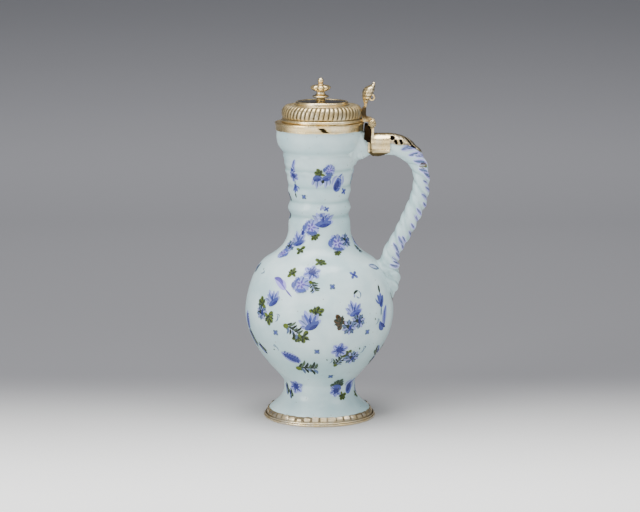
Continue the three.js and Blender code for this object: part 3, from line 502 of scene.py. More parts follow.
def dab(bm, skin, spot, start, end, width, colour, wash, bow, widest, layer):
    """One touch of the brush from start to end, in millimetres beside the spot, as a film on the skin."""
    centre, right, up = spot
    pigment = bm.verts.layers.float_color["pigment"]
    strength = bm.verts.layers.float["strength"]
    start, end = Vector(start), Vector(end)
    along = end - start
    aside = Vector((-along.y, along.x)).normalized()
    power = math.log(0.5) / math.log(widest)
    tone = Vector(linear(colour)[:3]) * brush.uniform(0.8, 1.2)
    shares = []

    def place(u, v):
        shares.append((u, v))
        half = width / 2 * math.sin(math.pi * min(max(v, 0.002), 0.998) ** power) ** 0.55
        side = math.copysign(1 - (1 - abs(1 - 2 * u)) ** 1.6, 1 - 2 * u)
        flat = start + along * v + aside * (side * half + 4 * bow * v * (1 - v))
        near, normal, _, _ = skin.find_nearest(centre + (right * flat.x + up * flat.y) * MM)
        return near + normal * (paint_lift + paint_layer * layer) * MM

    columns = 2 if width < 0.9 else 4 if width < 2.4 else 6 if width < 4.5 else 12
    corners = mapped_grid(bm, columns, max(5, min(16, round(along.length / 0.9))), place)
    for corner, (u, v) in zip(corners, shares):
        rim = min(u, 1 - u) < 0.01 or min(v, 1 - v) < 0.01
        inner = min(u, 1 - u) > 0.3 and columns > 2
        corner[pigment] = (*tone, 1)
        edge = 0 if colour == bled_cobalt else 0.46
        corner[strength] = edge if rim else (1 - wash * inner * min(1, 2 * v)) * brush.uniform(0.94, 1)


def body_spot(degrees, height, turn=0):
    """Where a sprig sits on the body: degrees round from the front towards the handle, and its height."""
    angle = math.radians(degrees)
    outward = Vector((math.sin(angle), -math.cos(angle), 0))
    start = outward * 0.2 + Vector((0, 0, height * MM))
    centre, normal, _, _ = body_skin.ray_cast(start, -outward)
    right = Vector((math.cos(angle), math.sin(angle), 0))
    up = normal.cross(right)
    if up.z < 0:
        up = -up
    swing = Matrix.Rotation(math.radians(-turn), 3, normal)
    return centre, swing @ right, swing @ up


def polar(turn, reach, middle=(0, 0)):
    """A point at a turn in degrees, clockwise from straight up, and a reach from the middle."""
    angle = math.radians(turn)
    return middle[0] + reach * math.sin(angle), middle[1] + reach * math.cos(angle)


# Each kind of sprig is drawn in units of its own size: from, to, width, colour, how pale the wash inside
# is, how far the stroke bows, and how far along it is widest
def lily(draw):
    root = (0, -0.5)
    draw((-0.7, 0.1), (0.75, 0), 1.5, bled_cobalt)
    for turn, reach in [(-66, 0.95), (-40, 1.25), (-16, 1.3)]:
        draw(root, polar(turn, reach, root), 0.42, pale_cobalt, 0.3)
        draw(root, polar(turn + 6, reach * 0.9, root), 0.16, grey_blue)
    for turn, reach in [(2, 1.55), (27, 1.25), (52, 1.35), (76, 1.05)]:
        draw(root, polar(turn, reach, root), 0.46, pale_cobalt)
        draw(root, polar(turn - 5, reach * 0.85, root), 0.24, cobalt)
    draw((-0.62, -0.5), (0.8, -0.36), 0.62, cobalt)
    draw((-0.3, -0.64), (0.6, -0.54), 0.34, deep_cobalt)
    draw((0.05, -0.3), polar(12, 0.8, root), 0.18, deep_cobalt)


def open_flower(draw):
    draw((-0.95, 0), (0.95, 0), 1.9, bled_cobalt)
    for turn in range(10, 370, 60):
        draw(polar(turn, 0.1), polar(turn, 1.02), 0.6, pale_cobalt, 0.35, widest=0.62)
        draw(polar(turn + 8, 0.3), polar(turn + 4, 0.9), 0.2, cobalt)
        draw(polar(turn + 30, 0.2), polar(turn + 30, 0.72), 0.2, cobalt)
    draw((-0.42, 0.05), (0.4, -0.05), 0.6, deep_cobalt)
    for turn in (5, 50, 110, 150):
        draw(polar(turn + 180, 0.5), polar(turn, 0.55), 0.24, deep_cobalt)


def round_blossom(draw):
    draw((-0.85, 0), (0.85, 0), 1.7, lilac, widest=0.5)
    for turn in range(0, 360, 40):
        draw(polar(turn, 0.35), polar(turn, 1.08), 0.5, pale_cobalt, 0.4, widest=0.62)
        draw(polar(turn + 20, 0.45), polar(turn + 16, 1.02), 0.2, cobalt)
    for turn in range(15, 360, 72):
        draw(polar(turn, 0.1), polar(turn, 0.56), 0.24, violet)
    draw((-0.95, 0.3), (-0.75, -0.5), 0.42, cobalt, bow=-0.1)
    draw((-0.2, -0.95), (0.75, -0.75), 0.36, grey_blue, bow=0.1)
    draw((-0.62, -0.55), (0.62, -0.6), 0.4, cobalt, bow=-0.14)
    draw((-0.7, -0.2), (-0.3, 0.75), 0.3, cobalt, bow=0.12)


def hatched_flower(draw):
    draw((-0.85, 0), (0.85, 0), 1.7, bled_cobalt)
    for number, turn in enumerate(range(5, 360, 36)):
        draw(polar(turn, 0.25), polar(turn, 1.02), 0.36, grey_blue if number % 2 else pale_cobalt, 0.2)
        draw(polar(turn + 18, 0.35), polar(turn + 18, 0.85), 0.2, dark_green)
    draw((-0.5, 0.12), (0.42, -0.12), 0.5, dark_green)
    draw((0.1, 0.42), (0.2, -0.46), 0.36, deep_cobalt)


def leaves(draw, colour=leaf_green, lobes=5):
    for lobe in range(lobes):
        turn = (lobe - (lobes - 1) / 2) * 230 / lobes
        draw((0, -0.2), polar(turn, 1.05 - 0.18 * (lobe * 2 % 3)), 0.6, colour, widest=0.66)
        draw((0, -0.1), polar(turn + 6, 0.85), 0.26, dark_green)
    draw((0, 0.1), (0.08, -0.95), 0.46, colour)
    draw((-0.3, 0), (0.25, -0.3), 0.36, dark_green)


def olive_leaves(draw):
    leaves(draw, leaf_green, 3)


def brown_leaves(draw):
    leaves(draw, umber, 5)


def dark_sprig(draw):
    draw((-0.9, 0), (0.95, 0.05), 1.0, bled_cobalt)
    draw((-1, -0.2), (1, 0.1), 0.26, dark_green, bow=0.12)
    for pair in range(6):
        x = -0.85 + 0.3 * pair
        tall = 0.6 + 0.2 * (pair * 2 % 3)
        draw((x, -0.05), (x + 0.35, tall), 0.27, grey_green if pair % 2 else dark_green, bow=-0.08)
        draw((x, -0.08), (x + 0.4, -0.9 * tall), 0.27, grey_blue if pair % 2 else dark_green, bow=0.08)
    draw((-1.1, -0.4), (-0.5, -0.1), 0.6, leaf_green)


def hatched_leaf(draw):
    draw((-1, 0.3), (1, -0.25), 1.15, pale_cobalt, widest=0.55)
    draw((-0.8, 0.22), (0.92, -0.2), 0.8, cobalt, 0.2, widest=0.6)
    draw((-0.85, 0.25), (0.95, -0.22), 0.18, deep_cobalt)
    for hatch in range(6):
        x = -0.65 + 0.25 * hatch
        draw((x, 0.15 - 0.26 * x), (x + 0.16, 0.46 - 0.26 * x), 0.15, deep_cobalt)
        draw((x, -0.02 - 0.26 * x), (x + 0.2, -0.34 - 0.26 * x), 0.15, deep_cobalt)


def outlined_leaf(draw):
    draw((-1, 0.35), (1.05, -0.35), 0.8, bled_cobalt, widest=0.4)
    for bow in (-0.3, 0.3):
        draw((-1, 0.35), (1.1, -0.38), 0.2, grey_blue, bow=bow)
    for hatch in range(4):
        x = -0.6 + 0.32 * hatch
        draw((x, 0.05 - 0.34 * x), (x + 0.14, 0.24 - 0.34 * x), 0.14, grey_blue)
    draw((0.3, -0.12), (1.15, -0.4), 0.28, grey_blue)


def violet_leaf(draw):
    draw((-1, 0.55), (0.75, -0.5), 0.84, lilac, bow=0.14, widest=0.62)
    draw((-1, 0.6), (0.3, 0.05), 0.44, violet, bow=0.14)
    draw((-0.6, 0.5), (0.7, -0.45), 0.18, violet, bow=0.06)
    draw((0.65, -0.45), (1.6, -1.15), 0.16, violet)


def tulip(draw):
    draw((0, -0.7), (0, 0.7), 1.3, bled_cobalt)
    for turn, reach in [(-24, 1.25), (2, 1.45), (26, 1.25)]:
        draw((0, -0.6), polar(turn, reach, (0, -0.6)), 0.56, cobalt, 0.35, widest=0.42)
    draw((-0.34, -0.6), (0.4, -0.5), 0.66, cobalt)
    draw((-0.15, -0.7), (0.2, 0.1), 0.34, deep_cobalt)
    draw((0, 0.75), (-0.04, 1.7), 0.34, dark_green)
    draw((-0.95, 0.15), (-0.25, -0.5), 0.22, cobalt, bow=-0.1)
    draw((0, -0.8), (-0.12, -1.8), 0.2, grey_blue)


def curved_leaf(draw):
    draw((0.45, 1.05), (-0.1, -0.9), 0.66, pale_cobalt, 0.3, bow=-0.25)
    draw((0.45, 1.05), (0.1, -0.8), 0.26, cobalt, bow=-0.36)
    draw((-0.75, -0.2), (-0.05, -1.05), 0.6, cobalt, 0.1, bow=-0.12)
    draw((-0.6, -0.35), (0.25, -0.85), 0.28, deep_cobalt)


def bud(draw):
    draw((0, -0.95), (0.1, 1.0), 1.5, bled_cobalt)
    draw((0, -0.9), (0.1, 0.9), 1.0, cobalt, widest=0.42)
    draw((-0.1, -0.75), (0.02, 0.45), 0.6, deep_cobalt)
    draw((-0.66, -0.2), (-0.3, 0.95), 0.28, pale_cobalt, bow=0.14)
    draw((0.62, -0.1), (0.5, 1.0), 0.28, pale_cobalt, bow=-0.14)
    draw((-0.05, 0.75), (0.35, 1.2), 0.24, cobalt)


def dark_blossom(draw):
    for x in (-0.6, 0.42):
        draw((x - 0.6, -0.15), (x + 0.6, -0.1), 1.3, bled_cobalt)
        for drop, reach in [(-0.34, -0.6), (-0.04, -0.95), (0.28, -0.7)]:
            draw((x + drop, 0.25), (x + drop * 1.6 - 0.1, reach), 0.36, pale_cobalt)
            draw((x + drop + 0.1, 0.2), (x + drop * 1.5, 0.8 * reach), 0.16, grey_blue)
        draw((x - 0.5, 0.12), (x + 0.55, 0.3), 0.75, cobalt)
        draw((x - 0.4, 0.0), (x + 0.4, 0.12), 0.36, deep_cobalt)
    draw((-0.2, -0.05), (0.15, -0.3), 0.4, dark_green)


def outlined_flower(draw):
    draw((-0.9, 0), (0.9, 0), 1.8, bled_cobalt)
    for turn in (-75, -15, 40, 100, 155):
        draw(polar(turn, 0.15), polar(turn, 1.05), 0.5, pale_cobalt, 0.6, widest=0.6)
        for bow in (-0.26, 0.26):
            draw(polar(turn, 0.15), polar(turn, 1.08), 0.2, cobalt, bow=bow)
    draw((-0.4, 0), (0.36, 0.1), 0.5, cobalt)
    draw((0.15, -0.15), (0.85, -0.75), 0.5, deep_cobalt)


def dots(draw):
    for turn in (45, 135, 225, 315):
        draw((0, 0), polar(turn, 1), 0.76, grey_blue)
    draw((-0.4, 0), (0.45, 0), 0.7, cobalt)


def cross(draw):
    for turn in (40, 130, 220, 310):
        draw((0, 0), polar(turn, 1.05), 0.64, cobalt, 0.3, widest=0.6)
    draw((-0.4, 0.1), (0.45, -0.1), 0.5, deep_cobalt)


def tendril(draw):
    draw((0, -1), (0.35, 0.45), 0.18, grey_blue, bow=-0.45)
    draw((0.35, 0.45), (0.8, -0.2), 0.18, grey_blue, bow=0.35)
    draw((-0.35, -0.1), (-0.6, 0.35), 0.28, grey_green)


def coiled_stem(draw):
    draw((-0.8, 0.1), (0.4, 0.75), 0.5, dark_green, bow=0.15)
    draw((0.35, 0.75), (0.5, -0.75), 0.22, grey_blue, bow=0.4)
    draw((0.5, -0.75), (-0.2, -0.2), 0.22, grey_blue, bow=0.2)
    draw((-0.6, 0.1), (-0.75, -0.6), 0.3, pale_cobalt)


def dark_strokes(draw):
    draw((-0.1, 1), (0.25, -1), 0.42, dark_green, bow=0.2)
    draw((-0.5, 0.8), (-0.1, -0.3), 0.4, deep_cobalt, bow=0.1)
    draw((0.25, 0.3), (0.7, -0.6), 0.34, grey_green)
    draw((-0.3, 0), (0.1, -0.9), 0.2, cobalt)


def green_blossom(draw):
    leaves(draw, grey_green, 6)
    for turn in (150, 190, 230):
        draw(polar(turn, 0.1), polar(turn, 1.0), 0.4, cobalt, 0.2)


# The sprigs that show from the front: kind, degrees from the front, height, size, and clockwise turn
front_sprigs = [
    (round_blossom, 17, 217, 5, 10), (leaves, 0, 213.5, 5.4, -70), (dark_blossom, 6, 208.5, 7.8, -4),
    (bud, 34, 204.5, 7.8, 8), (cross, 50, 197.5, 3.2, 20), (dots, -30, 193.5, 2.7, 0),
    (curved_leaf, -47, 219, 6.2, 0), (open_flower, -50, 211, 5.6, 0), (tulip, -49, 200, 4.8, 180),
    (dark_strokes, -78, 191.5, 4.5, 0), (dark_strokes, -80, 175.5, 3.9, 10), (lily, 5, 175, 10, -4),
    (cross, 13, 183.5, 2.6, 20), (round_blossom, -15, 168, 7, 0), (leaves, -8, 160.5, 4.5, 170),
    (bud, -31, 163.5, 3.5, 20), (lily, -41, 156.5, 7.6, -20), (hatched_flower, -54, 150.5, 6.2, 0),
    (round_blossom, -58, 144.5, 5.8, 190), (olive_leaves, -30, 148.5, 5.2, 115),
    (round_blossom, 32, 154, 7.8, 10), (hatched_flower, 52, 155.5, 6.6, 40), (leaves, 27, 147, 4.1, 180),
    (dark_strokes, -84, 130.5, 5, 20), (tendril, -64, 130.5, 3.5, 40), (leaves, 1, 140.5, 5.6, 60),
    (open_flower, -7, 133.5, 7.6, 0), (leaves, -26, 132.5, 5.2, -40), (round_blossom, -16, 124, 7.3, 0),
    (dark_sprig, -5, 123, 5, 70), (violet_leaf, -35, 123, 8.4, 0), (dots, 11, 122.5, 3, 0),
    (cross, 33, 130.5, 4.1, 0), (outlined_leaf, 66, 133.5, 7.1, 0), (lily, -41, 110.5, 8.2, -35),
    (leaves, -51, 105, 6.6, -60), (hatched_flower, -50, 98, 6.8, 0), (leaves, -42, 94.5, 6.6, 130),
    (tendril, -36, 96.5, 5, 0), (leaves, -2, 102, 6.4, 20), (lily, -8, 94, 9.8, -25),
    (dark_sprig, -21, 87, 7.4, 40), (olive_leaves, -12, 80.5, 6.5, 110), (leaves, -17, 79.5, 5.4, -150),
    (coiled_stem, 32, 115, 4.3, 0), (lily, 27, 103, 8, -15), (brown_leaves, 16, 93.5, 7, -75),
    (hatched_flower, 31, 93, 6.8, 0), (hatched_flower, 23, 88.5, 6.8, 30), (tulip, 57, 107.5, 7.6, 8),
    (curved_leaf, 60, 91.5, 10, 0), (tendril, 49, 91.5, 3.9, 20), (dots, -36, 82.5, 3.1, 0),
    (dots, 40, 82.5, 2.9, 0), (dots, -2, 67.5, 3, 0), (dots, 14, 42, 2.8, 0),
    (hatched_leaf, -74, 87, 8.4, 75), (dark_strokes, -72, 72, 9, 0), (dark_strokes, -60, 64.5, 6.5, -20),
    (hatched_leaf, -27, 60.5, 9.3, 14), (tendril, -41, 67.5, 4.1, -60), (dark_sprig, -13, 51, 9.1, 8),
    (open_flower, 17, 68.5, 7.6, 0), (hatched_flower, 31, 60, 7.4, 30), (leaves, 25, 63.5, 5.4, -20),
    (dark_sprig, 18, 57.5, 6, -50), (tendril, 38, 67.5, 4.8, 0), (tendril, 9, 59, 3.9, 0),
    (dark_strokes, 66, 61.5, 8.6, 150), (dark_strokes, 74, 51, 8, 150), (open_flower, -40, 30.5, 7.2, 0),
    (dark_strokes, -64, 26, 5.8, -10), (dark_strokes, -52, 23, 4.8, -10), (green_blossom, 30, 33, 7, 0),
    (open_flower, 27, 27, 5.8, 0), (leaves, 39, 22, 4.6, 170), (bud, 56, 29.5, 8, 25),
]
# The far side carries the same kinds of sprigs: height of each row, how many, and the size of its flowers
back_rows = [
    (27, 5, 5.8), (50, 5, 7.2), (69, 6, 7.5), (89, 7, 8.0), (109, 7, 7.8), (128, 6, 7.2), (152, 4, 6.4),
    (174, 3, 6.4), (207, 3, 5.8),
]
flower_kinds = [lily, round_blossom, open_flower, hatched_leaf, tulip,
                hatched_flower, violet_leaf, outlined_flower]
filler_kinds = [leaves, dark_sprig, olive_leaves, tendril, brown_leaves]
back_sprigs = []
for row, (height, count, size) in enumerate(back_rows):
    for number in range(count):
        degrees = 92 + (number + 0.5 * (row % 2)) * 176 / count + brush.uniform(-5, 5)
        level = height + brush.uniform(-4, 4)
        kind = flower_kinds[(3 * row + 2 * number) % len(flower_kinds)]
        filler = filler_kinds[(row + number) % len(filler_kinds)]
        spread = math.degrees(1.15 * size / (28 if height > 150 or height < 35 else 58))
        back_sprigs.append((kind, degrees, level, size, brush.uniform(-50, 50)))
        turn = brush.uniform(80, 200)
        back_sprigs.append((filler, degrees - spread, level - 0.8 * size, 0.65 * size, turn))
        if number % 2:
            back_sprigs.append((dots, degrees + 2.2 * spread, level + 5, 2.7, 0))

# Paint in the glaze: tinted by each dab's pigment and strength, and duller than the bare glaze, so that
# dark strokes stay dark under the soft boxes
glaze_paint, tree, place, output = new_material("pigment_in_tin_glaze")
colour, gloss, relief = glaze_nodes(tree, place)
pigment = add_node(tree, "Attribute", attribute_name="pigment")
strength = add_node(tree, "Attribute", attribute_name="strength")
puddle = add_node(tree, "TexNoise", {"Scale": 1000 / 1.6, "Detail": 2}, {"Vector": place})
uneven = add_node(tree, "MapRange", {"From Min": 0.3, "From Max": 0.7, "To Min": 0.95, "To Max": 1},
                  {"Value": puddle.outputs[0]})
solid = add_node(tree, "MapRange", {"From Min": 0.05, "From Max": 0.5}, {"Value": strength.outputs["Fac"]})
cover = add_node(tree, "Math", links={0: solid.outputs[0], 1: uneven.outputs[0]}, operation="MULTIPLY",
                 use_clamp=True)
tinted = add_node(tree, "Mix", links={0: cover.outputs[0], 6: colour, 7: pigment.outputs["Color"]},
                  data_type="RGBA")
surface = add_node(tree, "BsdfPrincipled", {"IOR": 1.5, "Specular IOR Level": 0.15},
                   {"Base Color": tinted.outputs[2], "Roughness": gloss, "Normal": relief})
tree.links.new(surface.outputs[0], output.inputs[0])


def paint_on(name, skin, jobs):
    """Paints a list of (kind, spot, size) on a skin as one piece of thin closed films."""
    bm = bmesh.new()
    bm.verts.layers.float_color.new("pigment")
    bm.verts.layers.float.new("strength")
    for kind, spot, size in jobs:
        layers = iter(range(1000))

        def draw(start, end, width, colour, wash=0, bow=0, widest=0.5):
            start, end = [[size * (value + brush.uniform(-0.03, 0.03)) for value in point]
                          for point in (start, end)]
            dab(bm, skin, spot, start, end, size * width, colour, wash, size * bow, widest, next(layers))

        kind(draw)
    bm.normal_update()
    under = bm.faces[:]
    sunk = bm.verts[:]
    bmesh.ops.extrude_face_region(bm, geom=under, use_keep_orig=True)
    for corner in sunk:
        corner.co -= corner.normal * paint_depth * MM
    bmesh.ops.reverse_faces(bm, faces=under)
    return add_piece(name, bm, glaze_paint, "jug", [])


neck_start = 145
lower_start = 80
for name, chosen in [
    ("painted_sprigs_neck", [s for s in front_sprigs if s[2] >= neck_start]),
    ("painted_sprigs_belly", [s for s in front_sprigs if lower_start <= s[2] < neck_start]),
    ("painted_sprigs_foot", [s for s in front_sprigs if s[2] < lower_start]),
    ("painted_sprigs_far_side", [s for s in back_sprigs if s[2] >= lower_start]),
    ("painted_sprigs_far_foot", [s for s in back_sprigs if s[2] < lower_start]),
]:
    paint_on(name, body_skin, [(kind, body_spot(degrees, height, turn), size)
                               for kind, degrees, height, size, turn in chosen])


def handle_frame(share, turn):
    """Where a dab sits on the handle: its centre, the way across it, and the way along it."""
    centre = handle_spot(share, turn)
    across = (handle_spot(share, turn + 0.1) - handle_spot(share, turn - 0.1)).normalized()
    along = (handle_spot(share + 0.005, turn) - handle_spot(share - 0.005, turn)).normalized()
    return centre, across, along


def dash(draw):
    draw((-1.1, -0.6), (1.1, 0.6), 1, bled_cobalt)
    draw((-1, -0.55), (1, 0.5), 0.56, lilac)
    draw((-0.9, -0.5), (0.5, 0.2), 0.3, grey_blue)


def olive_patch(draw):
    draw((-0.9, -0.3), (0.9, 0.3), 1.0, "#7d7358")
    draw((-0.7, 0.2), (0.6, 0.5), 0.5, leaf_green)
    draw((-0.6, -0.6), (0.7, -0.2), 0.4, umber)


handle_jobs = []
olive_share = 0.494
for side in (-1, 1):
    for step in range(24):
        share = 0.37 + 0.021 * step
        if abs(share - olive_share) < 0.012:
            continue
        spread, size = (0.42, 6.2) if step < 9 else (0.26, 4.2)
        turn = side * (0.62 + spread * (step % 2) + brush.uniform(-0.1, 0.1))
        handle_jobs.append((dash, handle_frame(share, turn), size + 0.6 * (step % 3)))
    handle_jobs.append((olive_patch, handle_frame(olive_share, side * 0.9), 4.8))
    handle_jobs.append((dash, handle_frame(0.735, side * 1.3), 5.5))
    handle_jobs.append((dash, handle_frame(0.76, side * 1.4), 5))
paint_on("painted_dashes_handle", handle_skin, handle_jobs)

# Foot ring
# A drawn silver-gilt wire with a flat ledge soldered inside it, rubbed pale where it meets the table.
# The jug's ceramic foot stands on the ledge.
base_ring = spun([
    (41.5, 0), (47.2, 0), (47.8, 0.25), (48.1, 0.9), (48.0, 1.5), (47.6, 1.85), (47.2, 1.95), (47.3, 2.2),
    (47.3, 2.7), (47.0, 3.1), (46.7, 3.2), (46.5, 3.1), (46.5, 0.75), (41.5, 0.7),
], 220)
for corner in base_ring.verts:
    if corner.co.z > 0.2 * MM:
        corner.co.z += 0.12 * MM * noise.noise(corner.co * 90)
        corner.co += outward(corner) * 0.15 * MM * noise.noise(corner.co * 60)


def silver_gilt(name, gold, worn, dark, wear=0.5, rough=0.3, flake=9):
    """Gilded silver: gold worn to silver in patches flake millimetres wide, brown in its recess mark's
    painted shade and dirt, and in spots of dirt.
    """
    material, tree, place, output = new_material(name)
    patch = add_node(tree, "TexNoise", {"Scale": 1000 / flake, "Detail": 4, "Roughness": 0.6},
                     {"Vector": place})
    rubbed = add_node(tree, "MapRange", {"From Min": wear - 0.12, "From Max": wear + 0.12},
                      {"Value": patch.outputs[0]})
    plate = add_node(tree, "Mix", {6: linear(worn), 7: linear(gold)},
                     {0: rubbed.outputs[0]}, data_type="RGBA")
    soil_and_shade = add_node(tree, "TexNoise", {"Scale": 1000 / 2.5, "Detail": 3}, {"Vector": place})
    # The recess mark paints shade in corners, grooves and under parts, along with dirt.
    recess_shade_and_dirt = add_node(tree, "Attribute", attribute_name="recess_shade_and_dirt")
    lifted = add_node(tree, "MapRange", {"From Min": 0.62, "From Max": 0.8, "To Min": 0, "To Max": 0.35},
                      {"Value": soil_and_shade.outputs[0]})
    dirt_and_painted_shade = add_node(tree, "Math", links={0: recess_shade_and_dirt.outputs["Fac"], 1: lifted.outputs[0]}, operation="ADD",
                    use_clamp=True)
    tone = add_node(tree, "Mix", {7: linear(dark)}, {0: dirt_and_painted_shade.outputs[0], 6: plate.outputs[2]},
                    data_type="RGBA")
    lay = add_node(tree, "Mapping", {"Scale": (1, 1, 0.15), "Rotation": (0.5, 0.3, 0)}, {"Vector": place})
    scratch = add_node(tree, "TexNoise", {"Scale": 1000 / 0.8, "Detail": 2}, {"Vector": lay.outputs[0]})
    dents = add_node(tree, "Bump", {"Strength": 0.3, "Distance": 0.0006}, {"Height": patch.outputs[0]})
    relief = add_node(tree, "Bump", {"Strength": 0.12, "Distance": 0.00015},
                      {"Height": scratch.outputs[0], "Normal": dents.outputs[0]})
    sheen = add_node(tree, "MapRange", {"To Min": rough - 0.06, "To Max": rough + 0.12},
                     {"Value": scratch.outputs[0]})
    dull = add_node(tree, "Math", links={0: dirt_and_painted_shade.outputs[0], 1: sheen.outputs[0]}, operation="MAXIMUM")
    surface = add_node(tree, "BsdfPrincipled", {"Metallic": 1}, {
        "Base Color": tone.outputs[2], "Roughness": dull.outputs[0], "Normal": relief.outputs[0]})
    tree.links.new(surface.outputs[0], output.inputs[0])
    return material


# Rubbed silver-gilt: rosy pale gold, half worn through, brown in every corner with painted shade and dirt
rubbed_gilt = silver_gilt("rubbed_silver_gilt", "#f0d8a6", "#efe3cb", "#4d3d22", flake=7)
# Painted shade in the groove under the wire's top bead and on the ledge inside it, under the foot.
mark(base_ring, "recess_shade_and_dirt", lambda x, y, z: 0.8 * bell(z - 1.95, 0.25) + 0.9 * (math.hypot(x, y) < 46.9))
add_piece("foot_wire", base_ring, rubbed_gilt, "jug", ["foot_base_ring"])

# Foot collar
# A strip of silver-gilt sheet standing on the ledge, cut into tabs along its upper edge. Each tab is
# rubbed down by hand over the rounded lip of the ceramic foot, so no two lie quite alike.
tab_count = 40
tab_columns = 8
collar = spun([(45.75, 1.05), (45.8, 3.0), (45.7, 4.3), (45.35, 5.4), (44.9, 6.3), (44.4, 7.1), (44.1, 7.6),
               (43.95, 7.9)], tab_count * tab_columns, closed=False)
# How far each tab is pressed down, how far it leans out, and how much it is askew
tab_shapes = [(brush.uniform(-0.7, 1.6), brush.uniform(-0.25, 0.4), brush.uniform(-1, 1))
              for tab in range(tab_count)]
tab_root = 4.3


def in_tab(point):
    """The tab that a point belongs to, and how far across its pitch the point is, from 0 to 1."""
    turn = (math.atan2(point.y, point.x) / (2 * math.pi)) % 1 * tab_count
    return int(turn) % tab_count, turn % 1


def sheet(bm, thickness, centre):
    """Gives a sheet its thickness in millimetres, inwards from the side that looks away from the centre."""
    bm.normal_update()
    middle = Vector(centre) * MM
    if sum(face.normal.dot(face.calc_center_median() - middle) for face in bm.faces) < 0:
        bmesh.ops.reverse_faces(bm, faces=bm.faces[:])
    bmesh.ops.solidify(bm, geom=bm.faces[:], thickness=thickness * MM)


gaps = []
for face in collar.faces:
    tab, across = in_tab(face.calc_center_median())
    width = 0.12 + 0.08 * tab_shapes[tab][2]
    if face.calc_center_median().z > (tab_root + 0.3) * MM and not width < across < 1 - width:
        gaps.append(face)
bmesh.ops.delete(collar, geom=gaps, context="FACES")
recess_shade_and_dirt = collar.verts.layers.float.new("recess_shade_and_dirt")
for corner in collar.verts:
    tab, across = in_tab(corner.co)
    drop, lean, skew = tab_shapes[tab]
    high = max(0, corner.co.z / MM - tab_root)
    side = abs(across - 0.5) * 2
    away = outward(corner)
    corner.co.z -= MM * high * (0.24 * drop + 0.12 * side ** 4 + 0.05 * skew * (across - 0.5))
    corner.co += away * MM * (lean * high / 3 + 0.05 * noise.noise(corner.co * 200))
    # Painted shade on the strip below the tabs and on the tabs' edges beside the gaps, and a darker tone on
    # tabs pressed far down.
    corner[recess_shade_and_dirt] = 0.3 * (high < 0.5) + 0.22 * (side > 0.55 and high > 0) + 0.15 * max(0, drop - 0.4)
sheet(collar, 0.5, (0, 0, 0))
add_piece("foot_collar_tabs", collar, rubbed_gilt, "jug", ["foot_tabbed_collar"], crease=50)

# Old polish and dirt packed behind the tabs: dark brown to dusty grey, dull, with a broken upper edge.
# It also stands as painted shade in the gaps between the tabs.
soil_and_shade, tree, place, output = new_material("old_polish_dirt_and_gap_shade")
clot = add_node(tree, "TexNoise", {"Scale": 1000 / 4, "Detail": 3}, {"Vector": place})
crust = add_node(tree, "Mix", {6: linear("#3a2e1e"), 7: linear("#8a7a58")},
                 {0: clot.outputs[0]}, data_type="RGBA")
surface = add_node(tree, "BsdfPrincipled", {"Roughness": 0.7, "IOR": 1.5}, {"Base Color": crust.outputs[2]})
tree.links.new(surface.outputs[0], output.inputs[0])
packed_dirt_and_gap_shade = spun([(45.0, 3.2), (45.15, 4.4), (44.9, 5.4), (44.45, 6.3), (43.95, 7.1), (43.7, 7.6),
                    (43.3, 7.6), (43.6, 6.9), (44.1, 5.6), (44.5, 4.4), (44.4, 3.2)], 320)
for corner in packed_dirt_and_gap_shade.verts:
    if corner.co.z > 7 * MM:
        corner.co.z += MM * (0.5 * noise.noise(corner.co * 250) - 0.2)
add_piece("foot_collar_dirt_and_gap_shade", packed_dirt_and_gap_shade, soil_and_shade, "jug", [])

# Plaster under the mounts
# White plaster run into the gaps between clay and metal at the foot and at the mouth. It is hidden,
# matt and slightly gritty.
plaster, tree, place, output = new_material("plaster")
grit = add_node(tree, "TexNoise", {"Scale": 1000 / 0.8, "Detail": 3}, {"Vector": place})
chalk = add_node(tree, "Mix", {6: linear("#d8d2c4"), 7: linear("#c3baa6")},
                 {0: grit.outputs[0]}, data_type="RGBA")
relief = add_node(tree, "Bump", {"Strength": 0.3, "Distance": 0.0003}, {"Height": grit.outputs[0]})
surface = add_node(tree, "BsdfPrincipled", {"Roughness": 0.92, "IOR": 1.5},
                   {"Base Color": chalk.outputs[2], "Normal": relief.outputs[0]})
tree.links.new(surface.outputs[0], output.inputs[0])


def dress(node, material):
    """Gives a CAD node that keeps its shape its material."""
    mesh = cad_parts[node].data
    mesh.materials.clear()
    mesh.materials.append(material)


for node in ("foot_packing", "rim_packing"):
    dress(node, plaster)

